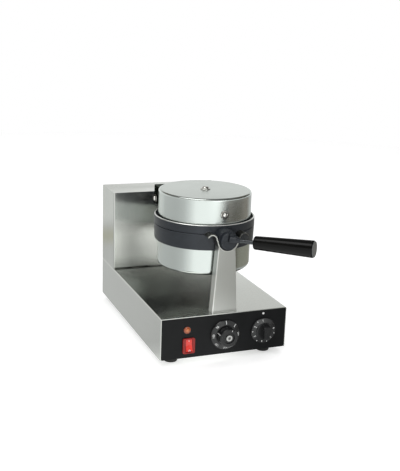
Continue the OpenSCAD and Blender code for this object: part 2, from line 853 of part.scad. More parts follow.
module post_screws() {
    color([0.8, 0.8, 0.8]) post_screw_places() {
        hex(8, 3.5);
        translate([0, 0, -post_t - sheet_t - 5])
            cylinder(r = m5_r, h = post_t + sheet_t + 5, $fn = small_fn);
    }
}

// Bent strip: a round seat under the collar that flares into two horns
module post_cradle() {
    color([0.78, 0.78, 0.76]) along_y(cradle_y, cradle_w) translate([0, axis_z]) {
        difference() {
            circle(r = cradle_out_r, $fn = fine_fn);
            circle(r = cradle_in_r, $fn = fine_fn);
            cradle_mouth();
        }
        for (m = [0, 1]) mirror([m, 0]) cradle_horn();
    }
}

// Everything above the two rays at which the seat ends
module cradle_mouth() {
    k = 3 * cradle_out_r;
    ray = k * [cos(cradle_open), -sin(cradle_open)];
    polygon([[0, 0], ray, [k, k], [-k, k], [-ray[0], ray[1]]]);
}

// One horn: it leaves the seat along its tangent, rises and curls over
module cradle_horn() {
    out = [cos(cradle_open), -sin(cradle_open)];
    up = [sin(cradle_open), cos(cradle_open)];
    foot = cradle_mid_r * out;
    top = foot + up * horn_rise;
    half = cradle_t / 2;
    root = foot - up * 0.6;
    polygon([root - out * half, root + out * half, top + out * half, top - out * half]);
    translate(top + out * horn_r) difference() {
        circle(r = horn_r + half);
        circle(r = horn_r - half);
        // Keeps the arc from the strip's top over to the horn's tip
        polygon([[0, 0], 3 * horn_r * [cos(horn_end), sin(horn_end)], [3 * horn_r, -3 * horn_r],
                 [-3 * horn_r, -3 * horn_r], -3 * horn_r * out]);
    }
}

// ---- Plates ----

// Places children on the upper plate's back, +Z away from the baking face
module on_upper() {
    translate([0, head_y, upper_back_z]) children();
}

// Places children on the lower plate's back, +Z away from the baking face
module on_lower() {
    translate([0, head_y, lower_back_z]) mirror([0, 0, 1]) children();
}

stud_boss_r = 9;
stud_boss_h = 5;
rim_edge = 1.2;

// Turned body of a plate: its baking face at Z = -plate_t, its back at Z = 0,
// an outer wall of the height wall_h and a boss for the stud
module plate_body(wall_h, taper) {
    w = wall_h - plate_t;
    rotate_extrude($fn = fine_fn)
        polygon([[0, -plate_t], [plate_r - 1, -plate_t], [plate_r, -plate_t + 1],
                 [plate_r - taper, w - rim_edge], [plate_r - taper - rim_edge, w],
                 [rim_in_r + 0.6, w], [rim_in_r, w - 0.8], [rim_in_r, 0], [stud_boss_r, 0],
                 [stud_boss_r, stud_boss_h], [0, stud_boss_h]]);
}

// What is cut from a baking face: the round recess, the crossed V grooves of
// the cone grid and the overflow groove round them
module bake_cut() {
    n = floor(bake_r / grid_pitch);
    translate([0, 0, -plate_t]) {
        translate([0, 0, -1]) cylinder(r = bake_r, h = 1 + bake_depth, $fn = fine_fn);
        for (a = [45, 135], i = [-n:n]) let (
            x = i * grid_pitch,
            l = sqrt(max(0, pow(bake_r - grid_depth, 2) - x * x)),
            w = grid_depth * 1.2)
            if (l > grid_pitch) rotate([0, 0, a]) translate([x, 0, bake_depth])
                rotate([90, 0, 0]) translate([0, 0, -l]) linear_extrude(2 * l)
                    polygon([[-w, -0.2], [w, -0.2], [w, 0], [0, grid_depth], [-w, 0]]);
        rotate_extrude($fn = fine_fn) translate([groove_r, 0])
            polygon([[-2, -1], [2, -1], [2, 0], [0.8, 1.5], [-0.8, 1.5], [-2, 0]]);
    }
}

// The hub's disc and collar, whole; each plate carries one half of them
module hub_round() {
    rod_y(0, collar_y, axis_z, collar_r, head_y - rim_in_r - fit - collar_y);
    translate([0, disc_y, axis_z]) rotate([-90, 0, 0]) rotate_extrude()
        polygon([[0, 0], [disc_r - 1, 0], [disc_r, 1], [disc_r, collar_y - disc_y + 1],
                 [0, collar_y - disc_y + 1]]);
}

// A block from the height z0 up (or down, with side = -1) round the hub
module hub_half_space(z0, side) {
    k = 2 * plate_r;
    translate([-k / 2, disc_y - 2 * grip_start, side > 0 ? z0 : z0 - k])
        cube([k, head_y - disc_y + 2 * grip_start, k]);
}

lug_half_w = 44;
lug_t = 24;
lug_z = lower_face_z - 3 - lug_t / 2;
lug_y2 = head_y + plate_r + 8.5;

// Lower plate: baking face up, skirt down, half hub at the front and a lug
// for the hinge bracket at the rear
module lower_plate() {
    color([0.20, 0.21, 0.23]) difference() {
        union() {
            on_lower() plate_body(lower_wall_h, 1);
            intersection() {
                hub_round();
                hub_half_space(axis_z - plate_gap / 2, -1);
            }
            difference() {
                translate([0, 0, lug_z]) along_y(head_y + rim_in_r - 12, lug_y2 - head_y - rim_in_r + 12)
                    round_rect(2 * lug_half_w, lug_t, 5);
                on_lower() cylinder(r = rim_in_r, h = lower_wall_h, $fn = fine_fn);
            }
        }
        on_lower() {
            bake_cut();
            translate([0, 0, -stud_in]) cylinder(r = m8_r, h = stud_in + stud_boss_h + 1);
        }
        bracket_bolt_places() translate([0, 0, -14]) cylinder(r = m5_r, h = 16);
    }
}
stud_in = 2;

// Upper plate: baking face down, standing rim up, half hub and handle boss at
// the front and two hinge arms at the rear
module upper_plate() {
    color([0.20, 0.21, 0.23]) difference() {
        union() {
            on_upper() plate_body(upper_wall_h, 0);
            difference() {
                intersection() {
                    union() {
                        hub_round();
                        handle_boss();
                    }
                    hub_half_space(axis_z + plate_gap / 2, 1);
                }
                // Room for the lower plate's rim
                translate([0, head_y, axis_z - 1])
                    cylinder(r = plate_r + plate_gap, h = upper_face_z - axis_z + 1, $fn = fine_fn);
            }
            for (s = [-1, 1]) translate([s * (arm_in_x + arm_w / 2) - arm_w / 2, 0, 0]) {
                along_x(0, arm_w) polygon([[head_y + 80, upper_face_z], [hinge_y, upper_face_z],
                    [hinge_y, hinge_z + knuckle_r], [head_y + 80, upper_back_z]]);
                rod_x(0, hinge_y, hinge_z, knuckle_r, arm_w);
            }
        }
        on_upper() {
            bake_cut();
            translate([0, 0, -stud_in]) cylinder(r = m8_r, h = stud_in + stud_boss_h + 1);
        }
        // Slot in the upper half of the hub's face
        translate([-3.5, disc_y - 1, axis_z]) cube([4, 4, disc_r + 1]);
        on_handle(boss_s1) cylinder(r = rod_r, h = 40);
        rod_x(-arm_in_x - arm_w - 1, hinge_y, hinge_z, pin_r + run_clear, 2 * (arm_in_x + arm_w + 1));
    }
}

boss_s1 = 12;
boss_s2 = 22;

// Round cast boss that carries the handle's rod
module handle_boss() {
    on_handle(4) rotate_extrude()
        polygon([[0, 0], [8, 0], [8, 9], [7.4, 12], [6, 15], [rod_r + 0.8, boss_s2 - 4],
                 [0, boss_s2 - 4]]);
}

// ---- Drum shells and what they hold ----

// Half section of a drawn cup: radius r, height h and edge radius e
module cup_half(r, h, e) {
    square([r, h - e]);
    square([r - e, h]);
    translate([r - e, h - e]) intersection() {
        circle(r = e);
        square(e);
    }
}

side_shank_r = m5_r;
dome_washer_r = 8.2;
tab_gap = 0.6;
tab_t = 2;

// Drawn steel cup with holes for the stud and the side screws
module drum_shell(r, h, e, screw_h, angles) {
    difference() {
        rotate_extrude($fn = fine_fn) difference() {
            cup_half(r, h, e);
            cup_half(r - shell_t, h - shell_t, e - shell_t);
        }
        translate([0, 0, h - 2 * shell_t]) cylinder(r = m8_r + fit, h = 3 * shell_t);
        for (a = angles) rotate([0, 0, a]) translate([r - 5, 0, screw_h])
            rotate([0, 90, 0]) cylinder(r = side_shank_r + fit, h = 10);
    }
}

// Angle tabs on the plate's back that the shell is screwed to
module shell_tabs(r, screw_h, angles) {
    x = r - shell_t - tab_gap - tab_t;
    w = 16;
    for (a = angles) rotate([0, 0, a]) difference() {
        union() {
            translate([x, -w / 2, 0]) cube([tab_t, w, screw_h + 8]);
            translate([x - 12, -w / 2, 0]) cube([12 + tab_t, w, tab_t]);
        }
        translate([x - 1, 0, screw_h]) rotate([0, 90, 0])
            cylinder(r = side_shank_r + fit, h = tab_t + 2);
    }
}

// Dome head screw through a wall of the thickness grip, its washer on the
// wall's outer face at Z = 0 and a nut on the inner face
module dome_screw(grip) {
    rotate_extrude($fn = fine_fn)
        polygon([[0, 0], [dome_washer_r, 0], [dome_washer_r, 1], [dome_washer_r - 0.6, 1.5],
                 [5.6, 1.5], [5.6, 2.8], [5.1, 4.2], [3.9, 5.2], [2.1, 5.8], [0, 5.8]]);
    translate([0, 0, -grip - 5]) cylinder(r = side_shank_r, h = grip + 5, $fn = small_fn);
    translate([0, 0, -grip - 4]) hex(8, 4);
}

module side_screws(r, screw_h, angles) {
    for (a = angles) rotate([0, 0, a]) translate([0, 0, screw_h]) rotate([0, 90, 0])
        translate([0, 0, r]) dome_screw(shell_t + tab_gap + tab_t);
}

element_r = 60;
element_tube_r = 4;
element_turn = 336;

// Tubular heating element: one open turn with two upright terminals
module element() {
    lift = element_tube_r + 0.2;
    a0 = 90 + (360 - element_turn) / 2;
    rotate([0, 0, a0]) rotate_extrude(angle = element_turn) translate([element_r, lift])
        circle(r = element_tube_r);
    for (a = [a0, a0 + element_turn]) rotate([0, 0, a]) translate([element_r, 0, lift]) {
        cylinder(r = element_tube_r, h = 14);
        translate([0, 0, 14]) cylinder(r = 1.6, h = 6, $fn = small_fn);
    }
}

pad_t = 9;
pad_r = 78;

// Mineral wool pad behind the element, pierced for the stud and the terminals
module wool_pad() {
    z = 2 * element_tube_r + 0.5;
    a0 = 90 + (360 - element_turn) / 2;
    translate([0, 0, z]) difference() {
        cylinder(r = pad_r - 8, h = pad_t);
        translate([0, 0, -1]) cylinder(r = m8_r + 1, h = pad_t + 2);
        for (a = [a0, a0 + element_turn]) rotate([0, 0, a]) translate([element_r, 0, -1])
            cylinder(r = element_tube_r + 0.6, h = pad_t + 2);
    }
}

// Threaded stud from the plate's boss to just past the shell
module stud(h) {
    translate([0, 0, -stud_in]) cylinder(r = m8_r - run_clear, h = h + 3 + stud_in, $fn = small_fn);
}

// Washer and low cap nut on the shell
module cap_nut(h) {
    translate([0, 0, h]) difference() {
        rotate_extrude()
            polygon([[0, 0], [9.5, 0], [9.5, 1], [9, 1.5], [6.3, 1.5], [6.3, 3.2], [5.4, 4.4],
                     [3.4, 5], [0, 5]]);
        translate([0, 0, -1]) cylinder(r = m8_r, h = 4.2, $fn = small_fn);
    }
}

upper_h = upper_shell_z - upper_back_z;
lower_h = lower_back_z - lower_shell_z;
upper_screw_h = upper_screw_z - upper_back_z;
lower_screw_h = lower_back_z - lower_screw_z;

module upper_shell() {
    color([0.80, 0.82, 0.82]) on_upper()
        drum_shell(upper_shell_r, upper_h, upper_edge_r, upper_screw_h, upper_screw_angles);
}

module lower_shell() {
    color([0.80, 0.82, 0.82]) on_lower()
        drum_shell(lower_shell_r, lower_h, lower_edge_r, lower_screw_h, lower_screw_angles);
}

module upper_shell_brackets() {
    color([0.6, 0.6, 0.6]) on_upper()
        shell_tabs(upper_shell_r, upper_screw_h, upper_screw_angles);
}

module lower_shell_brackets() {
    color([0.6, 0.6, 0.6]) on_lower()
        shell_tabs(lower_shell_r, lower_screw_h, lower_screw_angles);
}

module upper_side_screws() {
    color([0.85, 0.85, 0.85]) on_upper()
        side_screws(upper_shell_r, upper_screw_h, upper_screw_angles);
}

module lower_side_screws() {
    color([0.85, 0.85, 0.85]) on_lower()
        side_screws(lower_shell_r, lower_screw_h, lower_screw_angles);
}

module upper_element() {
    color([0.35, 0.33, 0.32]) on_upper() element();
}

module lower_element() {
    color([0.35, 0.33, 0.32]) on_lower() element();
}

module upper_insulation() {
    color([0.86, 0.84, 0.76]) on_upper() wool_pad();
}

module lower_insulation() {
    color([0.86, 0.84, 0.76]) on_lower() wool_pad();
}

module upper_stud() {
    color([0.75, 0.75, 0.75]) on_upper() stud(upper_h);
}

module lower_stud() {
    color([0.75, 0.75, 0.75]) on_lower() stud(lower_h);
}

module upper_cap_nut() {
    color([0.85, 0.85, 0.85]) on_upper() cap_nut(upper_h);
}

module lower_cap_nut() {
    color([0.85, 0.85, 0.85]) on_lower() cap_nut(lower_h);
}

// ---- Rear hinge, hood and shaft ----

bracket_plate_t = 6;

// Bolts through the bracket's plate into the lower plate's lug
module bracket_bolt_places() {
    for (sx = [-1, 1], dz = [-6, 6])
        translate([sx * (lug_half_w - 8), lug_y2 + bracket_plate_t, lug_z + dz])
            rotate([-90, 0, 0]) translate([0, 0, -bracket_plate_t]) children();
}

// Cast bracket: plate on the lug, arm, hinge knuckle and the shaft's flange
module hinge_bracket() {
    arm_low = lug_z - lug_t / 2 + 2;
    knuckle_half = arm_in_x - side_gap;
    color([0.30, 0.31, 0.33]) difference() {
        union() {
            translate([0, 0, lug_z]) along_y(lug_y2, bracket_plate_t)
                round_rect(2 * lug_half_w, lug_t, 5);
            along_x(-16, 32) polygon([[lug_y2 + 1, arm_low], [flange_y + 1, arm_low],
                [flange_y + 1, axis_z + 9], [hinge_y + knuckle_r, hinge_z],
                [hinge_y - knuckle_r, hinge_z], [lug_y2 + 1, lug_z + lug_t / 2 - 1]]);
            rod_x(-knuckle_half, hinge_y, hinge_z, knuckle_r, 2 * knuckle_half);
            along_x(-knuckle_half, 2 * knuckle_half) polygon([
                [hinge_y - knuckle_r, hinge_z], [hinge_y + knuckle_r, hinge_z],
                [hinge_y + knuckle_r - 3, arm_low + 4], [hinge_y - knuckle_r + 3, arm_low + 4]]);
            rod_y(0, flange_y, axis_z, flange_r, flange_t);
        }
        rod_y(0, shaft_y1, axis_z, shaft_r, 30);
        rod_x(-arm_in_x - 1, hinge_y, hinge_z, pin_r + run_clear, 2 * arm_in_x + 2);
        bracket_bolt_places() translate([0, 0, -1])
            cylinder(r = m5_r + fit, h = bracket_plate_t + 2);
    }
}

module bracket_bolts() {
    color([0.8, 0.8, 0.8]) bracket_bolt_places() {
        translate([0, 0, -12]) cylinder(r = m5_r, h = bracket_plate_t + 12, $fn = small_fn);
        translate([0, 0, bracket_plate_t]) hex(8, 3.5);
    }
}

// Pin with a flat head at one end and a clip ring at the other
module hinge_pin() {
    color([0.82, 0.82, 0.82]) {
        rod_x(-pin_l / 2, hinge_y, hinge_z, pin_r, pin_l);
        rod_x(-pin_l / 2 - 2, hinge_y, hinge_z, pin_r + 2.5, 2);
        rod_x(pin_l / 2 - 3, hinge_y, hinge_z, pin_r + 2, 1.2);
    }
}

// Hollow shaft that carries the head and lets the heater leads through
module turning_shaft() {
    color([0.66, 0.68, 0.70]) difference() {
        rod_y(0, shaft_y1, axis_z, shaft_r, shaft_y2 - shaft_y1);
        rod_y(0, shaft_y1 - 1, axis_z, shaft_bore_r, shaft_y2 - shaft_y1 + 2);
    }
}

// Collar with one lug that meets the stop blocks
module stop_collar() {
    color([0.42, 0.43, 0.45]) difference() {
        union() {
            rod_y(0, stop_y, axis_z, collar_out_r, collar_t);
            translate([0, stop_y, axis_z - lug_h / 2]) cube([lug_x, collar_t, lug_h]);
        }
        rod_y(0, stop_y - 1, axis_z, shaft_r, collar_t + 2);
        translate([0, stop_y + collar_t / 2, axis_z])
            cylinder(r = m4_r, h = collar_out_r + 1, $fn = small_fn);
    }
}

// Round nut on the shaft's rear end
module shaft_nut() {
    color([0.42, 0.43, 0.45]) difference() {
        rod_y(0, shaft_nut_y, axis_z, shaft_r + 5, shaft_nut_t);
        rod_y(0, shaft_nut_y - 1, axis_z, shaft_r, shaft_nut_t + 2);
        // Four slots for a hook spanner
        for (a = [0:90:270]) translate([0, shaft_nut_y - 1, axis_z]) rotate([0, a, 0])
            translate([shaft_r + 3, 0, -2]) cube([4, shaft_nut_t + 2, 4]);
    }
}

hood_y1 = head_y + 30;
hood_y2 = head_y + 111.5;
hood_low = upper_rim_z + 0.4;
hood_t = 1.2;
hood_screw_z = hood_low + 14;
hood_flange_h = 22;
hood_side_y = hood_y2 - bend_r - dome_washer_r - 0.3;
hood_side_z = hood_low + 10;

module hood_plan(inset) {
    translate([0, hood_y1]) folded_outline(2 * (hood_half_w - inset),
        hood_y2 - hood_y1 - inset, bend_r - inset);
}

// Folded cover behind the upper shell, open below for the heater leads, with a
// curved flange against the shell
module rear_hood() {
    top = axis_z + hood_rise;
    color([0.28, 0.30, 0.30]) difference() {
        union() {
            difference() {
                translate([0, 0, hood_low]) linear_extrude(top - hood_low) hood_plan(0);
                translate([0, 0, hood_low - 1]) linear_extrude(top - hood_low + 1 - hood_t)
                    hood_plan(hood_t);
            }
            intersection() {
                translate([0, head_y, hood_low]) cylinder(r = upper_shell_r + shell_gap + 1.5,
                    h = hood_flange_h, $fn = fine_fn);
                translate([0, 0, hood_low]) linear_extrude(hood_flange_h) hood_plan(hood_t / 2);
            }
        }
        translate([0, head_y, hood_low - 1])
            cylinder(r = upper_shell_r + shell_gap, h = top - hood_low + 2, $fn = fine_fn);
        hood_screw_places() translate([0, 0, -12]) cylinder(r = m4_r + fit, h = 16);
        hood_side_places() translate([0, 0, -5]) cylinder(r = side_shank_r + fit, h = 10);
    }
}

// A screw near the rear edge of each side wall
module hood_side_places() {
    for (m = [0, 1]) mirror([m, 0, 0])
        translate([hood_half_w, hood_side_y, hood_side_z]) rotate([0, 90, 0]) children();
}

module hood_screw_places() {
    for (a = [68, 112])
        on_drum(a, upper_shell_r + shell_gap + 1.5, hood_screw_z) children();
}

module hood_screws() {
    color([0.8, 0.8, 0.8]) {
        hood_screw_places() pan_screw(m4_r, 1.5, 3.6, 2.2);
        hood_side_places() dome_screw(hood_t);
    }
}

// ---- Handle ----

module handle_rod() {
    color([0.55, 0.55, 0.54]) on_handle(boss_s1)
        cylinder(r = rod_r, h = grip_end - 8 - boss_s1);
}

// Turned grip that swells towards its far end, bored for the rod
module handle_grip() {
    l = grip_l;
    color([0.05, 0.05, 0.05]) on_handle(grip_start) difference() {
        rotate_extrude($fn = fine_fn)
            polygon([[0, 0], [grip_r1 - 3, 0], [grip_r1 - 1.2, 0.5], [grip_r1 - 0.3, 1.6],
                     [grip_r1, 3], [grip_r2, l - 2], [grip_r2 - 0.3, l - 0.8],
                     [grip_r2 - 1.2, l], [0, l]]);
        translate([0, 0, -1]) cylinder(r = rod_r, h = l - 7);
        translate([0, 0, l - 9]) cylinder(r = 2.2, h = 10, $fn = small_fn);
    }
}

// Flat cap on the grip's end, with its spigot
module grip_end_cap() {
    color([0.30, 0.31, 0.30]) on_handle(grip_end) {
        rotate_extrude($fn = fine_fn)
            polygon([[0, 0], [end_cap_r, 0], [end_cap_r, end_cap_t - end_cap_edge],
                     [end_cap_r - end_cap_edge, end_cap_t], [0, end_cap_t]]);
        translate([0, 0, -6]) cylinder(r = 2.2, h = 6, $fn = small_fn);
    }
}

base_shell();
bottom_plate();
bottom_screws();
front_panel();
rubber_feet();
foot_screws();
tower_shell();
tower_back_cover();
back_cover_screws();
front_post();
post_screws();
post_cradle();
bearing_housing();
housing_bolts();
shaft_bushes();
bearing_bracket();
stop_blocks();
cable_gland();
gland_nut();
terminal_block();
thermostat_body();
timer_body();
switch_body();
indicator_body();
indicator_lens();
lower_plate();
lower_shell();
lower_shell_brackets();
lower_side_screws();
lower_element();
lower_insulation();
lower_stud();
lower_cap_nut();
hinge_bracket();
bracket_bolts();
turning_shaft();
stop_collar();
shaft_nut();
hinge_pin();
upper_plate();
upper_shell();
upper_shell_brackets();
upper_side_screws();
upper_element();
upper_insulation();
upper_stud();
upper_cap_nut();
rear_hood();
hood_screws();
handle_rod();
handle_grip();
grip_end_cap();
thermostat_dial();
thermostat_cap();
thermostat_shaft();
timer_dial();
timer_shaft();
switch_rocker();
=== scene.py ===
import math

import bmesh
import bpy
from bpy.props import FloatProperty, FloatVectorProperty, PointerProperty
from mathutils import Matrix, Vector


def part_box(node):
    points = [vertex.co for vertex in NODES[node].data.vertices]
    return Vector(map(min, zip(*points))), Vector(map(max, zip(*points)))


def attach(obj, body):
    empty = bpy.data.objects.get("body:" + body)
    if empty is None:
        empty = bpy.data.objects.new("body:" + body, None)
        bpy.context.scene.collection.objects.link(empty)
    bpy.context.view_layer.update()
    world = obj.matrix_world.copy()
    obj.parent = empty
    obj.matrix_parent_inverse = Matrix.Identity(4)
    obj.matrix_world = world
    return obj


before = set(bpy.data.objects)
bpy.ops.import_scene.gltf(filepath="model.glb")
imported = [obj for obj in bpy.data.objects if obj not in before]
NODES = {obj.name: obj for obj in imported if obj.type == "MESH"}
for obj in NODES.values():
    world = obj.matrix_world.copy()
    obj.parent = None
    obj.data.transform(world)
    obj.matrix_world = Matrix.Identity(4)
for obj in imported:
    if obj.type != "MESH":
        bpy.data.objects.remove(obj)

bl_info = {
    "name": "Waffle Cone Maker Dressing",
    "version": (1, 0, 0),
    "blender": (4, 5, 0),
    "location": "View3D > Sidebar > Cone Maker",
    "description": "Finishes, dial scales and studio for a rotating waffle cone maker",
    "category": "Object",
}

MM = 0.001


def middle(node):
    """Centre of a node's box at rest."""
    low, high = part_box(node)
    return (low + high) / 2


def round_sizes(node):
    """Radius, front and back of a round control, from its box at rest."""
    low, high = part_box(node)
    return (high.x - low.x) / 2, low.y, high.y


PANEL_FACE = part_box("front_panel")[0].y
THERMOSTAT = middle("thermostat_dial")
TIMER = middle("timer_dial")
ROCKER = middle("switch_rocker")
LENS = middle("indicator_lens")
DRUM = middle("upper_shell")


# ---------------------------------------------------------------- sizes a user would change


class SteelSettings(bpy.types.PropertyGroup):
    sheet_colour: FloatVectorProperty(
        name="Sheet colour", description="Brushed sheet of base, tower and post",
        subtype="COLOR", size=4, min=0, max=1, default=(0.622, 0.63, 0.606, 1))
    drum_colour: FloatVectorProperty(
        name="Drum colour", description="Turned sheet of the two drum shells",
        subtype="COLOR", size=4, min=0, max=1, default=(0.62, 0.66, 0.64, 1))
    hood_colour: FloatVectorProperty(
        name="Hood colour", description="Duller sheet of the rear hood",
        subtype="COLOR", size=4, min=0, max=1, default=(0.18, 0.19, 0.18, 1))
    sheet_roughness: FloatProperty(
        name="Sheet roughness", description="Spread of the reflections in the flat sheets",
        subtype="FACTOR", min=0, max=1, default=0.13)
    drum_roughness: FloatProperty(
        name="Drum roughness", description="Spread of the reflections in the drum",
        subtype="FACTOR", min=0, max=1, default=0.21)
    grain_pitch: FloatProperty(
        name="Grain pitch", description="Distance between two brush lines",
        subtype="DISTANCE", unit="LENGTH", min=0.0002, max=0.005, default=0.0009)


class CoatSettings(bpy.types.PropertyGroup):
    iron_colour: FloatVectorProperty(
        name="Iron colour", description="Dark baked coat on the plates and the hub",
        subtype="COLOR", size=4, min=0, max=1, default=(0.0185, 0.0230, 0.0300, 1))
    panel_colour: FloatVectorProperty(
        name="Panel colour", description="Satin black of the control panel",
        subtype="COLOR", size=4, min=0, max=1, default=(0.0075, 0.0080, 0.0087, 1))
    grip_colour: FloatVectorProperty(
        name="Grip colour", description="Glossy black of the handle grip",
        subtype="COLOR", size=4, min=0, max=1, default=(0.004, 0.004, 0.0038, 1))
    dial_colour: FloatVectorProperty(
        name="Dial colour", description="Satin black of the two dials",
        subtype="COLOR", size=4, min=0, max=1, default=(0.011, 0.0115, 0.0125, 1))
    rocker_colour: FloatVectorProperty(
        name="Rocker colour", description="Lit red of the power rocker",
        subtype="COLOR", size=4, min=0, max=1, default=(0.80, 0.030, 0.020, 1))
    lens_colour: FloatVectorProperty(
        name="Lens colour", description="Amber of the indicator lens",
        subtype="COLOR", size=4, min=0, max=1, default=(0.56, 0.135, 0.018, 1))


class ScaleSettings(bpy.types.PropertyGroup):
    digit_height: FloatProperty(
        name="Digit height", description="Height of the numbers on the thermostat skirt",
        subtype="DISTANCE", unit="LENGTH", min=0.001, max=0.006, default=0.0037)
    tick_width: FloatProperty(
        name="Tick width", description="Width of the printed lines",
        subtype="DISTANCE", unit="LENGTH", min=0.0002, max=0.002, default=0.0008)
    ink_lift: FloatProperty(
        name="Ink thickness", description="How far the printed marks stand off the surface",
        subtype="DISTANCE", unit="LENGTH", min=0.00001, max=0.0004, default=0.00008)
    thermostat_step: FloatProperty(
        name="Thermostat step", description="Turn from one printed number to the next",
        subtype="ANGLE", unit="ROTATION", min=0.1, max=1.6, default=math.radians(45))
    pointer_turn: FloatProperty(
        name="Pointer turn", description="Turn of the pointer on the thermostat's cap",
        subtype="ANGLE", unit="ROTATION", min=-3.2, max=3.2, default=math.radians(21))
    timer_start: FloatProperty(
        name="Timer start", description="Turn from the top to the timer's first number",
        subtype="ANGLE", unit="ROTATION", min=0, max=1.6, default=math.radians(8))
    timer_step: FloatProperty(
        name="Timer step", description="Turn from one timer number to the next",
        subtype="ANGLE", unit="ROTATION", min=0.1, max=1.6, default=math.radians(54.4))
    dot_radius: FloatProperty(
        name="Index dot", description="Radius of the white dot above the timer",
        subtype="DISTANCE", unit="LENGTH", min=0.0005, max=0.005, default=0.0022)
    ink_colour: FloatVectorProperty(
        name="Ink colour", description="White print on panel and dials",
        subtype="COLOR", size=4, min=0, max=1, default=(0.90, 0.91, 0.90, 1))


class StudioSettings(bpy.types.PropertyGroup):
    floor_colour: FloatVectorProperty(
        name="Floor colour", description="Pale floor under the machine",
        subtype="COLOR", size=4, min=0, max=1, default=(0.80, 0.80, 0.80, 1))
    floor_lift: FloatProperty(
        name="Floor lift",
        description="Light the floor itself adds for the eye and for reflections",
        min=0, max=1, default=0.49)
    fill_level: FloatProperty(
        name="Fill level", description="Even light from all round on matt surfaces",
        min=0, max=2, default=0.55)
    key_power: FloatProperty(
        name="Key power", description="Large soft lamp at the front left",
        subtype="POWER", unit="POWER", min=0, max=200, default=16)
    top_power: FloatProperty(
        name="Top power", description="Wide soft lamp overhead",
        subtype="POWER", unit="POWER", min=0, max=200, default=14)
    eye: FloatVectorProperty(
        name="Eye", description="Place of the camera",
        subtype="XYZ", unit="LENGTH", size=3, default=(-0.600369, -1.512485, 0.642209))
    lens: FloatProperty(
        name="Lens", description="Focal length of the camera on a 36 mm frame",
        unit="CAMERA", min=10, max=200, default=65.793)


# ---------------------------------------------------------------- node trees


def feed(tree, socket, value):
    """Links an output to an input, or writes a plain value into it."""
    if isinstance(value, bpy.types.NodeSocket):
        tree.links.new(value, socket)
    else:
        socket.default_value = value


def add_node(tree, kind, inputs=None, **fields):
    """A new node, with its fields set and its inputs fed."""
    new = tree.nodes.new(kind)
    for key, value in fields.items():
        setattr(new, key, value)
    for socket, value in (inputs or {}).items():
        feed(tree, new.inputs[socket], value)
    return new


def empty_tree(owner):
    """The cleared node tree of a material or a world."""
    owner.use_nodes = True
    owner.node_tree.nodes.clear()
    return owner.node_tree


def seen_directly(tree):
    """1 for what the eye, a reflection or a clear part sees, and 0 for soft bounced light."""
    path = add_node(tree, "ShaderNodeLightPath")
    seen = path.outputs["Is Camera Ray"]
    for kind in ("Is Glossy Ray", "Is Transmission Ray"):
        seen = add_node(tree, "ShaderNodeMath", {0: seen, 1: path.outputs[kind]},
                        operation="MAXIMUM").outputs[0]
    return seen


# ---------------------------------------------------------------- finishes


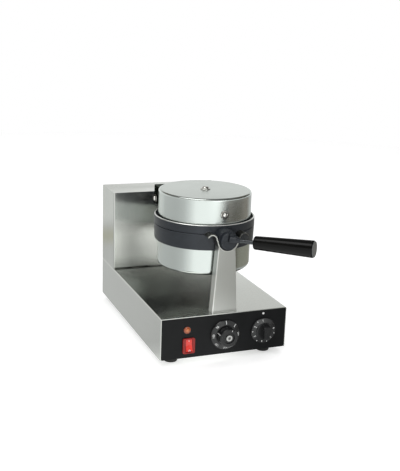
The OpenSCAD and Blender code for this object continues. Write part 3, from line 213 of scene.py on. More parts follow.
class Finish:
    """A procedural material for one surface of the machine, built around one shader."""

    def __init__(self, name, colour, metallic=0.0, roughness=0.5, **sockets):
        self.mat = bpy.data.materials.new(name)
        self.mat.use_nodes = True
        self.mat.diffuse_color = tuple(colour)
        self.tree = self.mat.node_tree
        self.shader = self.tree.nodes["Principled BSDF"]
        self.set(Base_Color=tuple(colour), Metallic=metallic, Roughness=roughness, **sockets)
        self.place = self.node("ShaderNodeTexCoord").outputs["Object"]
        self.normal = None

    def node(self, kind, inputs=None, **fields):
        return add_node(self.tree, kind, inputs, **fields)

    def set(self, **sockets):
        """Gives shader inputs a value or a link; an underscore in a name is a space."""
        for name, value in sockets.items():
            feed(self.tree, self.shader.inputs[name.replace("_", " ")], value)

    def painted(self):
        """The colour that is linked to the shader so far."""
        return self.shader.inputs["Base Color"].links[0].from_socket

    def axes(self, vector=None):
        """The three coordinates of a vector, or of the place on the object, in metres."""
        return self.node("ShaderNodeSeparateXYZ", {0: vector or self.place}).outputs

    def vector_math(self, operation, a, b=(0, 0, 0)):
        return self.node("ShaderNodeVectorMath", {0: a, 1: b}, operation=operation).outputs

    def offset(self, centre):
        """The place on the object, counted from a point."""
        return self.vector_math("SUBTRACT", self.place, tuple(centre))["Vector"]

    def reach(self, offset, counted):
        """Length of an offset, where only the axes marked 1 are counted."""
        flat = self.vector_math("MULTIPLY", offset, counted)["Vector"]
        return self.vector_math("LENGTH", flat)["Value"]

    def scaled(self, scale):
        """The place on the object in cells, from one number or three, in cells per metre."""
        if not isinstance(scale, (tuple, list)):
            scale = (scale,) * 3
        return self.node("ShaderNodeMapping", {
            "Vector": self.place, "Scale": scale}).outputs["Vector"]

    def noise_at(self, vector, detail, roughness):
        """Cloudy noise from 0 to 1, at a place given in cells."""
        return self.node("ShaderNodeTexNoise", {
            "Vector": vector, "Scale": 1.0, "Detail": detail,
            "Roughness": roughness}).outputs["Fac"]

    def noise(self, scale, detail=2.0, roughness=0.5):
        return self.noise_at(self.scaled(scale), detail, roughness)

    def cells(self, scale):
        """Distance to the middle of the nearest cell, in cells."""
        return self.node("ShaderNodeTexVoronoi", {
            "Vector": self.scaled(scale), "Scale": 1.0}).outputs["Distance"]

    def remap(self, value, low, high, to_low, to_high):
        """Takes one range of values to another, and holds it there outside."""
        return self.node("ShaderNodeMapRange", {
            "Value": value, "From Min": low, "From Max": high,
            "To Min": to_low, "To Max": to_high}).outputs["Result"]

    def math(self, operation, a, b=0.0):
        return self.node("ShaderNodeMath", {0: a, 1: b}, operation=operation).outputs[0]

    def mix(self, share, first, second):
        """Blend of two colours, each a tuple or a colour output."""
        return self.node("ShaderNodeMix", {
            "Factor": share, 6: first, 7: second}, data_type="RGBA").outputs[2]

    def bump(self, height, strength, depth):
        """Relief on top of the relief that is there already."""
        inputs = {"Height": height, "Strength": strength, "Distance": depth}
        if self.normal:
            inputs["Normal"] = self.normal
        self.normal = self.node("ShaderNodeBump", inputs).outputs["Normal"]
        self.set(Normal=self.normal)

    def smear_round(self, amount, turn=0.0):
        """Draws reflections out round the upright axis, as a grain does."""
        tangent = self.node("ShaderNodeTangent", direction_type="RADIAL", axis="Z")
        self.set(Anisotropic=amount, Anisotropic_Rotation=turn, Tangent=tangent.outputs[0])

    def on(self, *nodes):
        """Gives the material to nodes of the machine."""
        for name in nodes:
            for slot in NODES[name].material_slots:
                slot.material = self.mat


def shade(colour, factor):
    """The same colour, lighter or darker."""
    return tuple(min(1.0, c * factor) for c in colour[:3]) + (1.0,)


# Textures, in cells per metre
GRAIN_RUN = 7.0         # brush lines, along the grain
BAND_RUN = 3.0          # broad bands, along the grain
SHEET_CLOUD = 9.0       # handling marks on flat sheet
DRUM_CLOUD = 14.0       # handling marks on turned sheet
DRUM_DRIFT = 14.0       # slow change of the turned grain round the drum
SCUFFS = 420.0          # fine marks on plated metal
WEAR = 26.0             # worn areas of the iron's coat
SKIN = 900.0            # skin of moulded plastic
FLOW = 38.0             # gloss changes of moulded plastic
SPECKLE = 1500.0        # gaps in the white print
OXIDE = 60.0            # heat marks on the elements
FIBRES = (700.0, 90.0, 400.0)
BAND_SHARE = 0.22       # broad bands across the grain, as a share of the brush lines
IRON_GRIT = 1.1 * MM    # size of a grain in the iron's coat, in metres

# Near-white colour of the upper plate's machined rim, brightened to a painted highlight line
RIM_HIGHLIGHT_IRON = (0.92, 0.93, 0.90, 1)
# Colour of the painted highlight along the post's left front bend
BEND_HIGHLIGHT = (0.98, 0.98, 0.96, 1)
# Edge tint that darkens the hood's grazing reflections, part of the painted shade on its sides
HOOD_SIDE_SHADE_TINT = (0.25, 0.26, 0.25, 1)
# Dark rim colour and edge tint of the screw domes: painted shade and painted dark reflection
SCREW_RIM_PAINTED_SHADE = (0.07, 0.065, 0.055, 1)
SCREW_RIM_SHADE_TINT = (0.4, 0.4, 0.4, 1)
BUTTON_CENTRE = (0.10, 0.10, 0.10, 1)
BUTTON_METAL = (0.50, 0.50, 0.49, 1)
LENS_RIM = (0.36, 0.055, 0.012, 1)
LENS_GLOW = (0.75, 0.22, 0.03, 1)
FRAME_RED = (0.40, 0.014, 0.010, 1)
ROCKER_GLOW = (0.85, 0.04, 0.02, 1)

# Name, colour, roughness and nodes of each plain plated or ground metal
PLATINGS = (
    ("dome_plating", (0.68, 0.67, 0.64, 1), 0.09,
     ("upper_cap_nut", "lower_cap_nut", "upper_stud", "lower_stud", "hinge_pin")),
    ("zinc_plating", (0.52, 0.53, 0.53, 1), 0.28,
     ("bottom_screws", "foot_screws", "back_cover_screws", "post_screws", "housing_bolts",
      "bracket_bolts")),
    ("ground_steel", (0.46, 0.465, 0.47, 1), 0.22,
     ("turning_shaft", "stop_collar", "shaft_nut", "bearing_housing", "stop_blocks")),
    ("handle_chrome", (0.085, 0.09, 0.095, 1), 0.24,
     ("handle_rod", "thermostat_shaft", "timer_shaft")),
    ("bearing_bronze", (0.50, 0.32, 0.14, 1), 0.34, ("shaft_bushes",)),
)


def brushed_sheet(name, colour, roughness, pitch, along, smear=0.0):
    """Brushed stainless sheet whose grain runs along one axis, with handling marks."""
    finish = Finish(name, colour, metallic=1.0, roughness=roughness)
    if smear:
        finish.smear_round(smear)
    fine, coarse = [1 / pitch] * 3, [BAND_SHARE / pitch] * 3
    fine["xyz".index(along)] = GRAIN_RUN
    coarse["xyz".index(along)] = BAND_RUN
    grain = finish.noise(fine, detail=3.0, roughness=0.6)
    band = finish.noise(coarse, detail=1.0)
    cloud = finish.noise(SHEET_CLOUD, detail=3.0, roughness=0.6)
    streaked = finish.mix(finish.remap(grain, 0.3, 0.7, 0.0, 1.0),
                          shade(colour, 0.97), shade(colour, 1.02))
    finish.set(Base_Color=finish.mix(finish.remap(cloud, 0.35, 0.75, 0.0, 0.35),
                                     streaked, shade(colour, 0.92)))
    finish.set(Roughness=finish.math(
        "ADD", finish.remap(grain, 0.25, 0.75, roughness - 0.02, roughness + 0.03),
        finish.remap(cloud, 0.3, 0.8, -0.02, 0.04)))
    finish.bump(grain, strength=0.03, depth=0.03 * MM)
    finish.bump(band, strength=0.012, depth=0.1 * MM)
    return finish


def strip_steel(name, colour, roughness, pitch, node):
    """Strip with painted shade darkening its faces, standing in for shadow and dark reflections,
    and painted highlights along its front and back cut edges.
    """
    # Painted shade: the faces get 0.16 of the sheet's colour
    finish = brushed_sheet(name, shade(colour, 0.16), roughness + 0.15, pitch, "y")
    low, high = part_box(node)
    y = finish.axes()["Y"]
    # Painted highlights: masks of the front and back cut edges, which get the sheet's colour made
    # brighter
    front = finish.remap(y, low.y + 0.3 * MM, low.y + 0.7 * MM, 1.0, 0.0)
    back = finish.remap(y, high.y - 0.7 * MM, high.y - 0.3 * MM, 0.0, 1.0)
    finish.set(Base_Color=finish.mix(finish.math("MAXIMUM", front, back), finish.painted(),
                                     shade(colour, 1.15)))
    return finish


def post_steel(name, colour, roughness, pitch, node):
    """Sheet of the tapered post, with a painted highlight: a bright line along its left front bend.
    """
    finish = brushed_sheet(name, colour, roughness, pitch, "z")
    corners = [v.co for v in NODES[node].data.vertices]
    face = min(v.y for v in corners)
    left = [v for v in corners if v.y < face + 2 * MM and v.x < 0]
    foot = min(left, key=lambda v: (round(v.z, 3), v.x))
    head = max(left, key=lambda v: (round(v.z, 3), -v.x))
    x, y, z = finish.axes()
    # Mask of the painted highlight along the left front bend
    inward = finish.math("SUBTRACT", x, finish.remap(z, foot.z, head.z, foot.x, head.x))
    bend_highlight = finish.math("MULTIPLY",
                       finish.remap(inward, 1.2 * MM, 1.9 * MM, 1.0, 0.0),
                       finish.remap(y, face + 0.8 * MM, face + 1.6 * MM, 1.0, 0.0))
    finish.set(Base_Color=finish.mix(bend_highlight, finish.painted(), BEND_HIGHLIGHT))
    return finish


def hood_steel(name, colour, roughness, pitch, node):
    """Sheet of the hood, with painted shade: its sides darker than its top."""
    # Painted shade: the sides get 0.35 of the hood's colour, and only the top keeps the full colour
    finish = brushed_sheet(name, shade(colour, 0.35), roughness, pitch, "x")
    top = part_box(node)[1].z
    level = finish.remap(finish.axes()["Z"], top - 0.5 * MM, top - 0.2 * MM, 0.0, 1.0)
    finish.set(Specular_Tint=HOOD_SIDE_SHADE_TINT,
               Base_Color=finish.mix(level, finish.painted(), tuple(colour)))
    return finish


def turned_sheet(name, colour, roughness, pitch):
    """Drum sheet finished in a lathe: the grain runs round the drum's axis."""
    finish = Finish(name, colour, metallic=1.0, roughness=roughness)
    finish.smear_round(0.15, turn=0.25)
    offset = finish.offset((DRUM.x, DRUM.y, 0))
    x, _, z = finish.axes(offset)
    rings = finish.node("ShaderNodeCombineXYZ", {
        "X": finish.math("MULTIPLY", finish.reach(offset, (1, 1, 0)), 1 / pitch),
        "Y": finish.math("MULTIPLY", z, 1 / pitch),
        "Z": finish.math("MULTIPLY", x, DRUM_DRIFT)}).outputs[0]
    grain = finish.noise_at(rings, detail=3.0, roughness=0.6)
    cloud = finish.noise(DRUM_CLOUD, detail=4.0, roughness=0.62)
    streaked = finish.mix(finish.remap(grain, 0.3, 0.7, 0.0, 1.0),
                          shade(colour, 0.985), shade(colour, 1.015))
    finish.set(Base_Color=finish.mix(finish.remap(cloud, 0.45, 0.7, 0.0, 0.15),
                                     streaked, shade(colour, 1.12)))
    finish.set(Roughness=finish.math(
        "ADD", finish.remap(grain, 0.25, 0.75, roughness - 0.02, roughness + 0.02),
        finish.remap(cloud, 0.35, 0.75, -0.02, 0.04)))
    finish.bump(grain, strength=0.02, depth=0.02 * MM)
    return finish


def plated(name, colour, roughness):
    """Plated or ground metal with fine scuffs."""
    finish = Finish(name, colour, metallic=1.0, roughness=roughness)
    scuff = finish.noise(SCUFFS, detail=4.0, roughness=0.7)
    finish.set(
        Base_Color=finish.mix(finish.remap(scuff, 0.4, 0.7, 0.0, 0.6), colour, shade(colour, 0.72)),
        Roughness=finish.remap(scuff, 0.3, 0.7, roughness - 0.05, roughness + 0.12))
    finish.bump(scuff, strength=0.06, depth=0.1 * MM)
    return finish


def baked_iron(name, colour, bare_above=None):
    """Cast iron under a sandy dark coat with bright flecks; above a height, a machined bare rim
    brightened to a painted highlight.
    """
    finish = Finish(name, colour, metallic=0.15, roughness=0.46, Specular_IOR_Level=0.5)
    sand = finish.noise(1 / IRON_GRIT, detail=3.0, roughness=0.65)
    fleck = finish.cells(1.5 / IRON_GRIT)
    worn = finish.noise(WEAR, detail=4.0, roughness=0.6)
    base = finish.mix(finish.remap(worn, 0.35, 0.7, 0.0, 1.0),
                      shade(colour, 0.82), shade(colour, 1.25))
    coat = finish.mix(finish.remap(fleck, 0.10, 0.24, 0.85, 0.0), base, shade(colour, 4.0))
    gloss = finish.remap(sand, 0.3, 0.7, 0.30, 0.50)
    if bare_above is None:
        finish.set(Base_Color=coat, Roughness=gloss)
    else:
        # Machined bare rim, partly real and partly a painted highlight: near white, half metallic
        # and smoother
        bare = finish.remap(finish.axes()["Z"], bare_above - 0.15 * MM, bare_above + 0.15 * MM,
                            0.0, 1.0)
        finish.set(Base_Color=finish.mix(bare, coat, RIM_HIGHLIGHT_IRON),
                   Metallic=finish.remap(bare, 0.0, 1.0, 0.15, 0.55),
                   Roughness=finish.math("MULTIPLY", gloss, finish.remap(bare, 0.0, 1.0, 1.0, 0.6)))
    finish.bump(sand, strength=0.35, depth=0.25 * MM)
    finish.bump(worn, strength=0.10, depth=0.6 * MM)
    return finish


def moulded(name, colour, roughness, grain=0.05, coat=0.0, **sockets):
    """Moulded plastic with a faint skin texture and slight gloss changes."""
    finish = Finish(name, colour, roughness=roughness, **sockets)
    skin = finish.noise(SKIN, detail=2.0)
    flow = finish.noise(FLOW, detail=3.0, roughness=0.6)
    finish.set(
        Base_Color=finish.mix(finish.remap(flow, 0.35, 0.7, 0.0, 1.0),
                              shade(colour, 0.9), shade(colour, 1.12)),
        Roughness=finish.remap(flow, 0.3, 0.75, roughness - 0.04, roughness + 0.07))
    finish.bump(skin, strength=grain, depth=0.1 * MM)
    if coat:
        finish.set(Coat_Weight=coat, Coat_Roughness=0.06)
    return finish


# ---------------------------------------------------------------- printed pieces


DIGIT_SHARE = 0.7       # height of a digit as a share of the letter size
TICK_SPANS = 4          # spans of a radial line, so that it follows the cone

# Sloped skirts of the dials: rounding at the rim, and heights over the foot
RIM_ROUND = 1.0 * MM
TIMER_RIM_ROUND = 0.8 * MM
SKIRT_FOOT = 3.0 * MM
THERMOSTAT_SKIRT_TOP = 6.0 * MM
TIMER_SKIRT_TOP = 5.5 * MM
TIMER_SKIRT_INNER = 16.5 * MM

# The thermostat's cap: gap to the skirt, taper and rounding of its side, height of its foot
CAP_GAP = 2.0 * MM
CAP_TAPER = 0.6 * MM
CAP_ROUND = 1.5 * MM
CAP_FOOT = 7.0 * MM

# Printed marks of the rocker, and how far their middles are from its ends
MARK_INSET = 2.3 * MM
RING_SPOKES = 28
RING_RADII = (1.0 * MM, 1.45 * MM, 1.9 * MM)
BAR_HALF_WIDTH = 0.45 * MM
BAR_ROWS = (-1.6 * MM, -0.8 * MM, 0.0, 0.8 * MM, 1.6 * MM)
PROBE = 10 * MM         # where a ray at the rocker's face starts, in front of it

# Index dot of the timer: place on the panel, and (ink layers, share of the radius) of its rings
DOT_SHIFT = Vector((-0.7 * MM, 0, 33.4 * MM))
DOT_SEGMENTS = 32
DOT_RINGS = ((0.0, 1.0), (1.0, 0.97), (1.6, 0.6))

THERMOSTAT_NUMBERS = tuple(str(50 * i) for i in range(1, 7))
TIMER_NUMBERS = tuple(str(i) for i in range(1, 7))


def link(name, data):
    """A new object in the scene."""
    made = bpy.data.objects.new(name, data)
    bpy.context.scene.collection.objects.link(made)
    return made


def print_ink():
    """The white print, made once."""
    made = bpy.data.materials.get("white_print")
    if made:
        return made
    colour = tuple(bpy.context.scene.cone_scales.ink_colour)
    ink = Finish("white_print", colour, roughness=0.55)
    speckle = ink.noise(SPECKLE, detail=2.0)
    ink.set(Base_Color=ink.mix(ink.remap(speckle, 0.55, 0.75, 0.0, 0.5), colour,
                               shade(colour, 0.7)))
    return ink.mat


def put(name, bm, body):
    """Makes a printed piece from faces turned to the front, and lets it ride on a body."""
    bmesh.ops.recalc_face_normals(bm, faces=bm.faces)
    if sum(f.normal.y * f.calc_area() for f in bm.faces) > 0:
        bmesh.ops.reverse_faces(bm, faces=bm.faces)
    mesh = bpy.data.meshes.new(name)
    bm.to_mesh(mesh)
    bm.free()
    mesh.materials.append(print_ink())
    piece = link(name, mesh)
    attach(piece, body)


def print_glyphs(words, height):
    """Flat outline of printed digits, centred on its own origin, as a mesh."""
    curve = bpy.data.curves.new("print", type="FONT")
    curve.body = words
    curve.size = height / DIGIT_SHARE
    curve.align_x = "CENTER"
    curve.align_y = "CENTER"
    curve.resolution_u = 4
    curve.offset = height * 0.02
    carrier = link("print", curve)
    bpy.context.view_layer.update()
    graph = bpy.context.evaluated_depsgraph_get()
    mesh = bpy.data.meshes.new_from_object(carrier.evaluated_get(graph))
    bpy.data.objects.remove(carrier)
    bpy.data.curves.remove(curve)
    return mesh


def bridge(bm, rows, closed=False):
    """Four-sided faces between neighbouring rows of points."""
    for a, b in zip(rows, rows[1:]):
        for i in range(len(a) if closed else len(a) - 1):
            j = (i + 1) % len(a)
            bm.faces.new((a[i], a[j], b[j], b[i]))


def spokes(count):
    """Even directions all round, in radians."""
    return [2 * math.pi * i / count for i in range(count)]


class Skirt:
    """Print round a turned face, whose slope is two (radius, height) points, to the front."""

    def __init__(self, bm, centre, foot, slope, lift):
        self.bm, self.centre, self.foot, self.slope, self.lift = bm, centre, foot, slope, lift

    def point(self, turn, radius):
        """A point on the ink's surface, from the top round to the right."""
        (r0, h0), (r1, h1) = self.slope
        height = h0 + (h1 - h0) * (radius - r0) / (r1 - r0)
        return self.bm.verts.new((self.centre.x + radius * math.sin(turn),
                                  self.foot - height - self.lift,
                                  self.centre.z + radius * math.cos(turn)))

    def words(self, text, height, turn, radius):
        """Flat print bent round the skirt."""
        glyphs = print_glyphs(text, height)
        made = [self.point(turn + v.co.x / radius, radius + v.co.y) for v in glyphs.vertices]
        for p in glyphs.polygons:
            self.bm.faces.new([made[i] for i in p.vertices])
        bpy.data.meshes.remove(glyphs)

    def tick(self, turn, r_in, r_out, width):
        """A short radial line."""
        rows = []
        for step in range(TICK_SPANS + 1):
            radius = r_in + (r_out - r_in) * step / TICK_SPANS
            half = width / 2 / radius
            rows.append([self.point(turn + side * half, radius) for side in (-1, 0, 1)])
        bridge(self.bm, rows)


# ---------------------------------------------------------------- steps


class SheetSteel(bpy.types.Operator):
    """Brushed stainless on the base, the tower, the front post, its cradle and the hood"""

    bl_idname = "cone_maker.sheet_steel"
    bl_label = "Sheet steel"

    def execute(self, context):
        s = context.scene.cone_steel
        colour, rough, pitch = tuple(s.sheet_colour), s.sheet_roughness, s.grain_pitch
        brushed_sheet("brushed_lengthwise", colour, rough, pitch, "y").on(
            "base_shell", "bottom_plate")
        brushed_sheet("brushed_across", colour, rough + 0.05, pitch, "z", smear=0.8).on(
            "tower_shell", "tower_back_cover")
        # The post's sheet is the same steel darkened to 0.86 as painted shade, and carries a
        # painted highlight on its bend
        post_steel("brushed_upright_painted_light", shade(colour, 0.86), rough + 0.19, pitch * 0.6,
                   "front_post").on("front_post")
        # The cradle's strip: painted shade on its faces and painted highlights on its cut edges
        strip_steel("strip_steel", colour, rough, pitch, "post_cradle").on("post_cradle")
        brushed_sheet("bracket_steel", shade(colour, 0.8), rough, pitch, "y").on(
            "lower_shell_brackets", "upper_shell_brackets", "bearing_bracket")
        # The hood's sides carry painted shade
        hood_steel("hood_sheet_painted_shade", s.hood_colour, rough + 0.08, pitch, "rear_hood").on("rear_hood")
        return {"FINISHED"}


class DrumSteel(bpy.types.Operator):
    """Turned stainless on the two drum shells"""

    bl_idname = "cone_maker.drum_steel"
    bl_label = "Drum steel"

    def execute(self, context):
        s = context.scene.cone_steel
        turned_sheet("turned_drum", tuple(s.drum_colour), s.drum_roughness,
                     s.grain_pitch * 0.8).on("upper_shell", "lower_shell")
        return {"FINISHED"}


class CastIron(bpy.types.Operator):
    """Baked dark coat on the plates, the hub and the hinge bracket, with a machined rim brightened
    to a painted highlight
    """

    bl_idname = "cone_maker.cast_iron"
    bl_label = "Cast iron"

    def execute(self, context):
        colour = tuple(context.scene.cone_coats.iron_colour)
        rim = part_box("upper_plate")[1].z
        baked_iron("baked_iron", colour).on("lower_plate", "hinge_bracket")
        baked_iron("machined_iron_rim_highlight", colour, bare_above=rim - 0.9 * MM).on("upper_plate")
        return {"FINISHED"}


class Fasteners(bpy.types.Operator):
    """Plated screws, nuts, pins and shafts"""

    bl_idname = "cone_maker.fasteners"
    bl_label = "Fasteners and shafts"

    def execute(self, context):
        domes = plated("screw_plating", (0.80, 0.79, 0.76, 1), 0.10)
        # Painted shade: the domes darken towards their rims, where they turn from the eye, as a
        # painted dark reflection, and an edge tint darkens their grazing reflections
        turned = domes.node("ShaderNodeLayerWeight", {"Blend": 0.5}).outputs["Facing"]
        domes.set(Base_Color=domes.mix(domes.remap(turned, 0.22, 0.62, 0.0, 1.0),
                                       domes.painted(), SCREW_RIM_PAINTED_SHADE),
                  Specular_Tint=SCREW_RIM_SHADE_TINT)
        domes.on("upper_side_screws", "lower_side_screws", "hood_screws")
        for name, colour, roughness, nodes in PLATINGS:
            plated(name, colour, roughness).on(*nodes)
        return {"FINISHED"}


class BlackParts(bpy.types.Operator):
    """Control panel, dials, grip, feet and cable gland"""

    bl_idname = "cone_maker.black_parts"
    bl_label = "Black parts"

    def execute(self, context):
        c = context.scene.cone_coats
        dial = tuple(c.dial_colour)
        moulded("satin_panel", tuple(c.panel_colour), 0.36, grain=0.04,
                Specular_IOR_Level=0.15).on("front_panel")
        moulded("satin_dial", dial, 0.23, Specular_IOR_Level=0.5).on(
            "thermostat_dial", "timer_dial")
        # The cap carries a spun metal button with a darker centre
        cap = moulded("dial_cap", dial, 0.24, Specular_IOR_Level=0.4)
        reach = cap.reach(cap.offset((THERMOSTAT.x, 0, THERMOSTAT.z)), (1, 0, 1))
        button = cap.remap(reach, 5.7 * MM, 6.0 * MM, 1.0, 0.0)
        spun = cap.mix(cap.remap(reach, 2.4 * MM, 3.2 * MM, 0.0, 1.0), BUTTON_CENTRE, BUTTON_METAL)
        cap.set(Base_Color=cap.mix(button, cap.painted(), spun),
                Metallic=cap.remap(button, 0.0, 1.0, 0.0, 0.6))
        cap.on("thermostat_cap")
        moulded("gloss_grip", tuple(c.grip_colour), 0.16, grain=0.02,
                Specular_IOR_Level=0.17).on("handle_grip")
        moulded("grey_cap", (0.13, 0.135, 0.135, 1), 0.32, grain=0.03).on("grip_end_cap")
        moulded("black_nylon", (0.012, 0.012, 0.012, 1), 0.5, grain=0.06).on(
            "cable_gland", "gland_nut", "indicator_body")
        moulded("foot_rubber", (0.010, 0.010, 0.010, 1), 0.72, grain=0.2).on("rubber_feet")
        return {"FINISHED"}


class RedSwitch(bpy.types.Operator):
    """Translucent red switch and its lit rocker"""

    bl_idname = "cone_maker.red_switch"
    bl_label = "Red switch"

    def execute(self, context):
        moulded("switch_frame_red", FRAME_RED, 0.16, grain=0.01, coat=0.15,
                Specular_IOR_Level=0.3, Transmission_Weight=0.06).on("switch_body")
        moulded("rocker_red", tuple(context.scene.cone_coats.rocker_colour), 0.22, grain=0.01,
                coat=0.4, Emission_Color=ROCKER_GLOW, Emission_Strength=0.18).on("switch_rocker")
        return {"FINISHED"}


class AmberLens(bpy.types.Operator):
    """Amber lens of the indicator lamp"""

    bl_idname = "cone_maker.amber_lens"
    bl_label = "Amber lens"

    def execute(self, context):
        colour = tuple(context.scene.cone_coats.lens_colour)
        lens = moulded("amber_lens", colour, 0.12, grain=0.01, coat=0.8, Transmission_Weight=0.15,
                       Emission_Color=LENS_GLOW, Emission_Strength=0.05)
        reach = lens.reach(lens.offset(LENS), (1, 0, 1))
        lens.set(Base_Color=lens.mix(lens.remap(reach, 2.2 * MM, 5.6 * MM, 0.0, 1.0),
                                     shade(colour, 1.25), LENS_RIM))
        lens.on("indicator_lens")
        return {"FINISHED"}


class HiddenParts(bpy.types.Operator):
    """Heating elements, insulation and the bodies of the controls"""

    bl_idname = "cone_maker.hidden_parts"
    bl_label = "Inner parts"

    def execute(self, context):
        oxide = Finish("element_oxide", (0.10, 0.085, 0.07, 1), metallic=0.8, roughness=0.5)
        heat = oxide.noise(OXIDE, detail=4.0)
        oxide.set(Base_Color=oxide.mix(oxide.remap(heat, 0.35, 0.7, 0.0, 1.0),
                                       (0.07, 0.06, 0.055, 1), (0.17, 0.13, 0.10, 1)))
        oxide.bump(heat, strength=0.1, depth=0.3 * MM)
        oxide.on("upper_element", "lower_element")
        wool = Finish("mineral_wool", (0.62, 0.58, 0.47, 1), roughness=0.95, Sheen_Weight=0.3)
        fibre = wool.noise(FIBRES, detail=5.0, roughness=0.7)
        wool.set(Base_Color=wool.mix(fibre, (0.48, 0.44, 0.34, 1), (0.72, 0.69, 0.60, 1)))
        wool.bump(fibre, strength=0.8, depth=1.0 * MM)
        wool.on("upper_insulation", "lower_insulation")
        moulded("cream_plastic", (0.66, 0.62, 0.50, 1), 0.42).on(
            "terminal_block", "thermostat_body", "timer_body")
        return {"FINISHED"}


class ThermostatScale(bpy.types.Operator):
    """White numbers and two long ticks on the thermostat's skirt, and the pointer on its cap"""

    bl_idname = "cone_maker.thermostat_scale"
    bl_label = "Thermostat scale"

    def execute(self, context):
        s = context.scene.cone_scales
        rim, _, foot = round_sizes("thermostat_dial")
        cap, face, _ = round_sizes("thermostat_cap")
        outer, inner = rim - RIM_ROUND, cap + CAP_GAP
        bm = bmesh.new()
        slope = ((outer, SKIRT_FOOT), (inner, THERMOSTAT_SKIRT_TOP))
        skirt = Skirt(bm, THERMOSTAT, foot, slope, s.ink_lift)
        for i, number in enumerate(THERMOSTAT_NUMBERS, 1):
            skirt.words(number, s.digit_height, -i * s.thermostat_step, (outer + inner) / 2)
        for turn in (0.0, s.thermostat_step):
            skirt.tick(turn, inner + 0.8 * MM, outer - 0.4 * MM, s.tick_width * 1.6)
        # Pointer: a line on the cap's face and a short one down its side
        depth = foot - face
        flat = Skirt(bm, THERMOSTAT, foot, ((0.0, depth), (cap, depth)), s.ink_lift)
        flat.tick(s.pointer_turn, cap - 5.5 * MM, cap - 2.1 * MM, s.tick_width)
        top = cap - CAP_TAPER
        slope = ((top, depth - CAP_ROUND), (cap, CAP_FOOT))
        side = Skirt(bm, THERMOSTAT, foot, slope, s.ink_lift)
        side.tick(s.pointer_turn - 2 * s.thermostat_step, top + s.ink_lift, cap + s.ink_lift,
                  s.tick_width * 1.5)
        put("thermostat_scale", bm, "thermostat_knob")
        return {"FINISHED"}


class TimerScale(bpy.types.Operator):
    """White numbers on the timer's skirt, with a short mark between each two"""

    bl_idname = "cone_maker.timer_scale"
    bl_label = "Timer scale"

    def execute(self, context):
        s = context.scene.cone_scales
        rim, _, foot = round_sizes("timer_dial")
        outer, inner = rim - TIMER_RIM_ROUND, TIMER_SKIRT_INNER
        bm = bmesh.new()
        slope = ((outer, SKIRT_FOOT), (inner, TIMER_SKIRT_TOP))
        skirt = Skirt(bm, TIMER, foot, slope, s.ink_lift)
        for i, number in enumerate(TIMER_NUMBERS):
            turn = -s.timer_start - i * s.timer_step
            skirt.words(number, s.digit_height * 1.1, turn, inner + 3.7 * MM)
            if number != TIMER_NUMBERS[-1]:
                skirt.tick(turn - s.timer_step / 2, outer - 2.4 * MM, outer - 0.5 * MM,
                           s.tick_width * 1.9)
        put("timer_scale", bm, "timer_knob")
        return {"FINISHED"}


class IndexDot(bpy.types.Operator):
    """White index dot on the panel above the timer"""

    bl_idname = "cone_maker.index_dot"
    bl_label = "Index dot"

    def execute(self, context):
        s = context.scene.cone_scales
        centre = Vector((TIMER.x, PANEL_FACE, TIMER.z)) + DOT_SHIFT
        bm = bmesh.new()
        rows = []
        for layers, share in DOT_RINGS:
            radius, lift = s.dot_radius * share, s.ink_lift * layers
            rows.append([bm.verts.new(centre + Vector((radius * math.cos(a), -lift,
                                                       radius * math.sin(a))))
                         for a in spokes(DOT_SEGMENTS)])
        bridge(bm, rows, closed=True)
        bm.faces.new(rows[-1])
        put("index_dot", bm, "base")
        return {"FINISHED"}


class RockerMarks(bpy.types.Operator):
    """White bar on the rocker's upper half and white ring on its lower half"""

    bl_idname = "cone_maker.rocker_marks"
    bl_label = "Rocker marks"

    def execute(self, context):
        lift = context.scene.cone_scales.ink_lift
        rocker = NODES["switch_rocker"]
        low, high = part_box("switch_rocker")
        end = (high.z - low.z) / 2 - MARK_INSET
        inverse = rocker.matrix_world.inverted()
        bm = bmesh.new()

        def on_face(x, z):
            """A point on the rocker's curved face."""
            start = inverse @ Vector((ROCKER.x + x, low.y - PROBE, ROCKER.z + z))
            place = rocker.ray_cast(start, inverse.to_3x3() @ Vector((0, 1, 0)))[1]
            return bm.verts.new(rocker.matrix_world @ place - Vector((0, lift, 0)))

        bridge(bm, [[on_face(r * math.cos(a), r * math.sin(a) - end) for a in spokes(RING_SPOKES)]
                    for r in RING_RADII], closed=True)
        bridge(bm, [[on_face(x, end + z) for x in (-BAR_HALF_WIDTH, BAR_HALF_WIDTH)]
                    for z in BAR_ROWS])
        put("rocker_marks", bm, "power_rocker")
        return {"FINISHED"}


# ---------------------------------------------------------------- studio


# What the room shows to the polished sheets, by direction round the drum in degrees (0 to the
# front, 90 to the right): the open table and wall, and the flags laid on them. A flag is (from,
# to, soft edge) in degrees, (from, to, soft edge) in metres of reach or height, and its tone.
OPEN_TABLE = (
    (-180, 0.64), (-120, 0.60), (-90, 0.57), (-70, 0.66), (-55, 0.95), (-42, 1.28),
    (0, 1.32), (10, 1.30), (16, 1.06), (20, 0.66), (24, 0.44), (90, 0.50), (140, 0.58), (180, 0.64),
)
TABLE_FLAGS = (
    ((-180, -138, 8), (0.98, 2.2, 0.10), (0.77, 0.79, 0.77)),
    ((-180, -138, 8), (0.76, 0.90, 0.10), (0.54, 0.54, 0.45)),
    ((26, 112, 14), (0.95, 2.2, 0.10), (0.24, 0.21, 0.18)),
    ((42, 82, 16), (0.95, 2.2, 0.10), (0.115, 0.10, 0.083)),
    ((8, 128, 8), (0.44, 0.95, 0.08), (0.30, 0.29, 0.24)),
    ((14, 68, 8), (0.44, 0.95, 0.08), (0.17, 0.16, 0.13)),
    ((14, 60, 8), (0.66, 0.98, 0.10), (0.08, 0.075, 0.06)),
)
OPEN_WALL = (
    (-180, 0.97), (-150, 0.97), (-100, 0.70), (-60, 0.90), (-40, 1.25), (-12, 1.30),
    (4, 2.10), (14, 2.60), (22, 2.30), (34, 1.00), (90, 0.70), (140, 0.97), (180, 0.97),
)
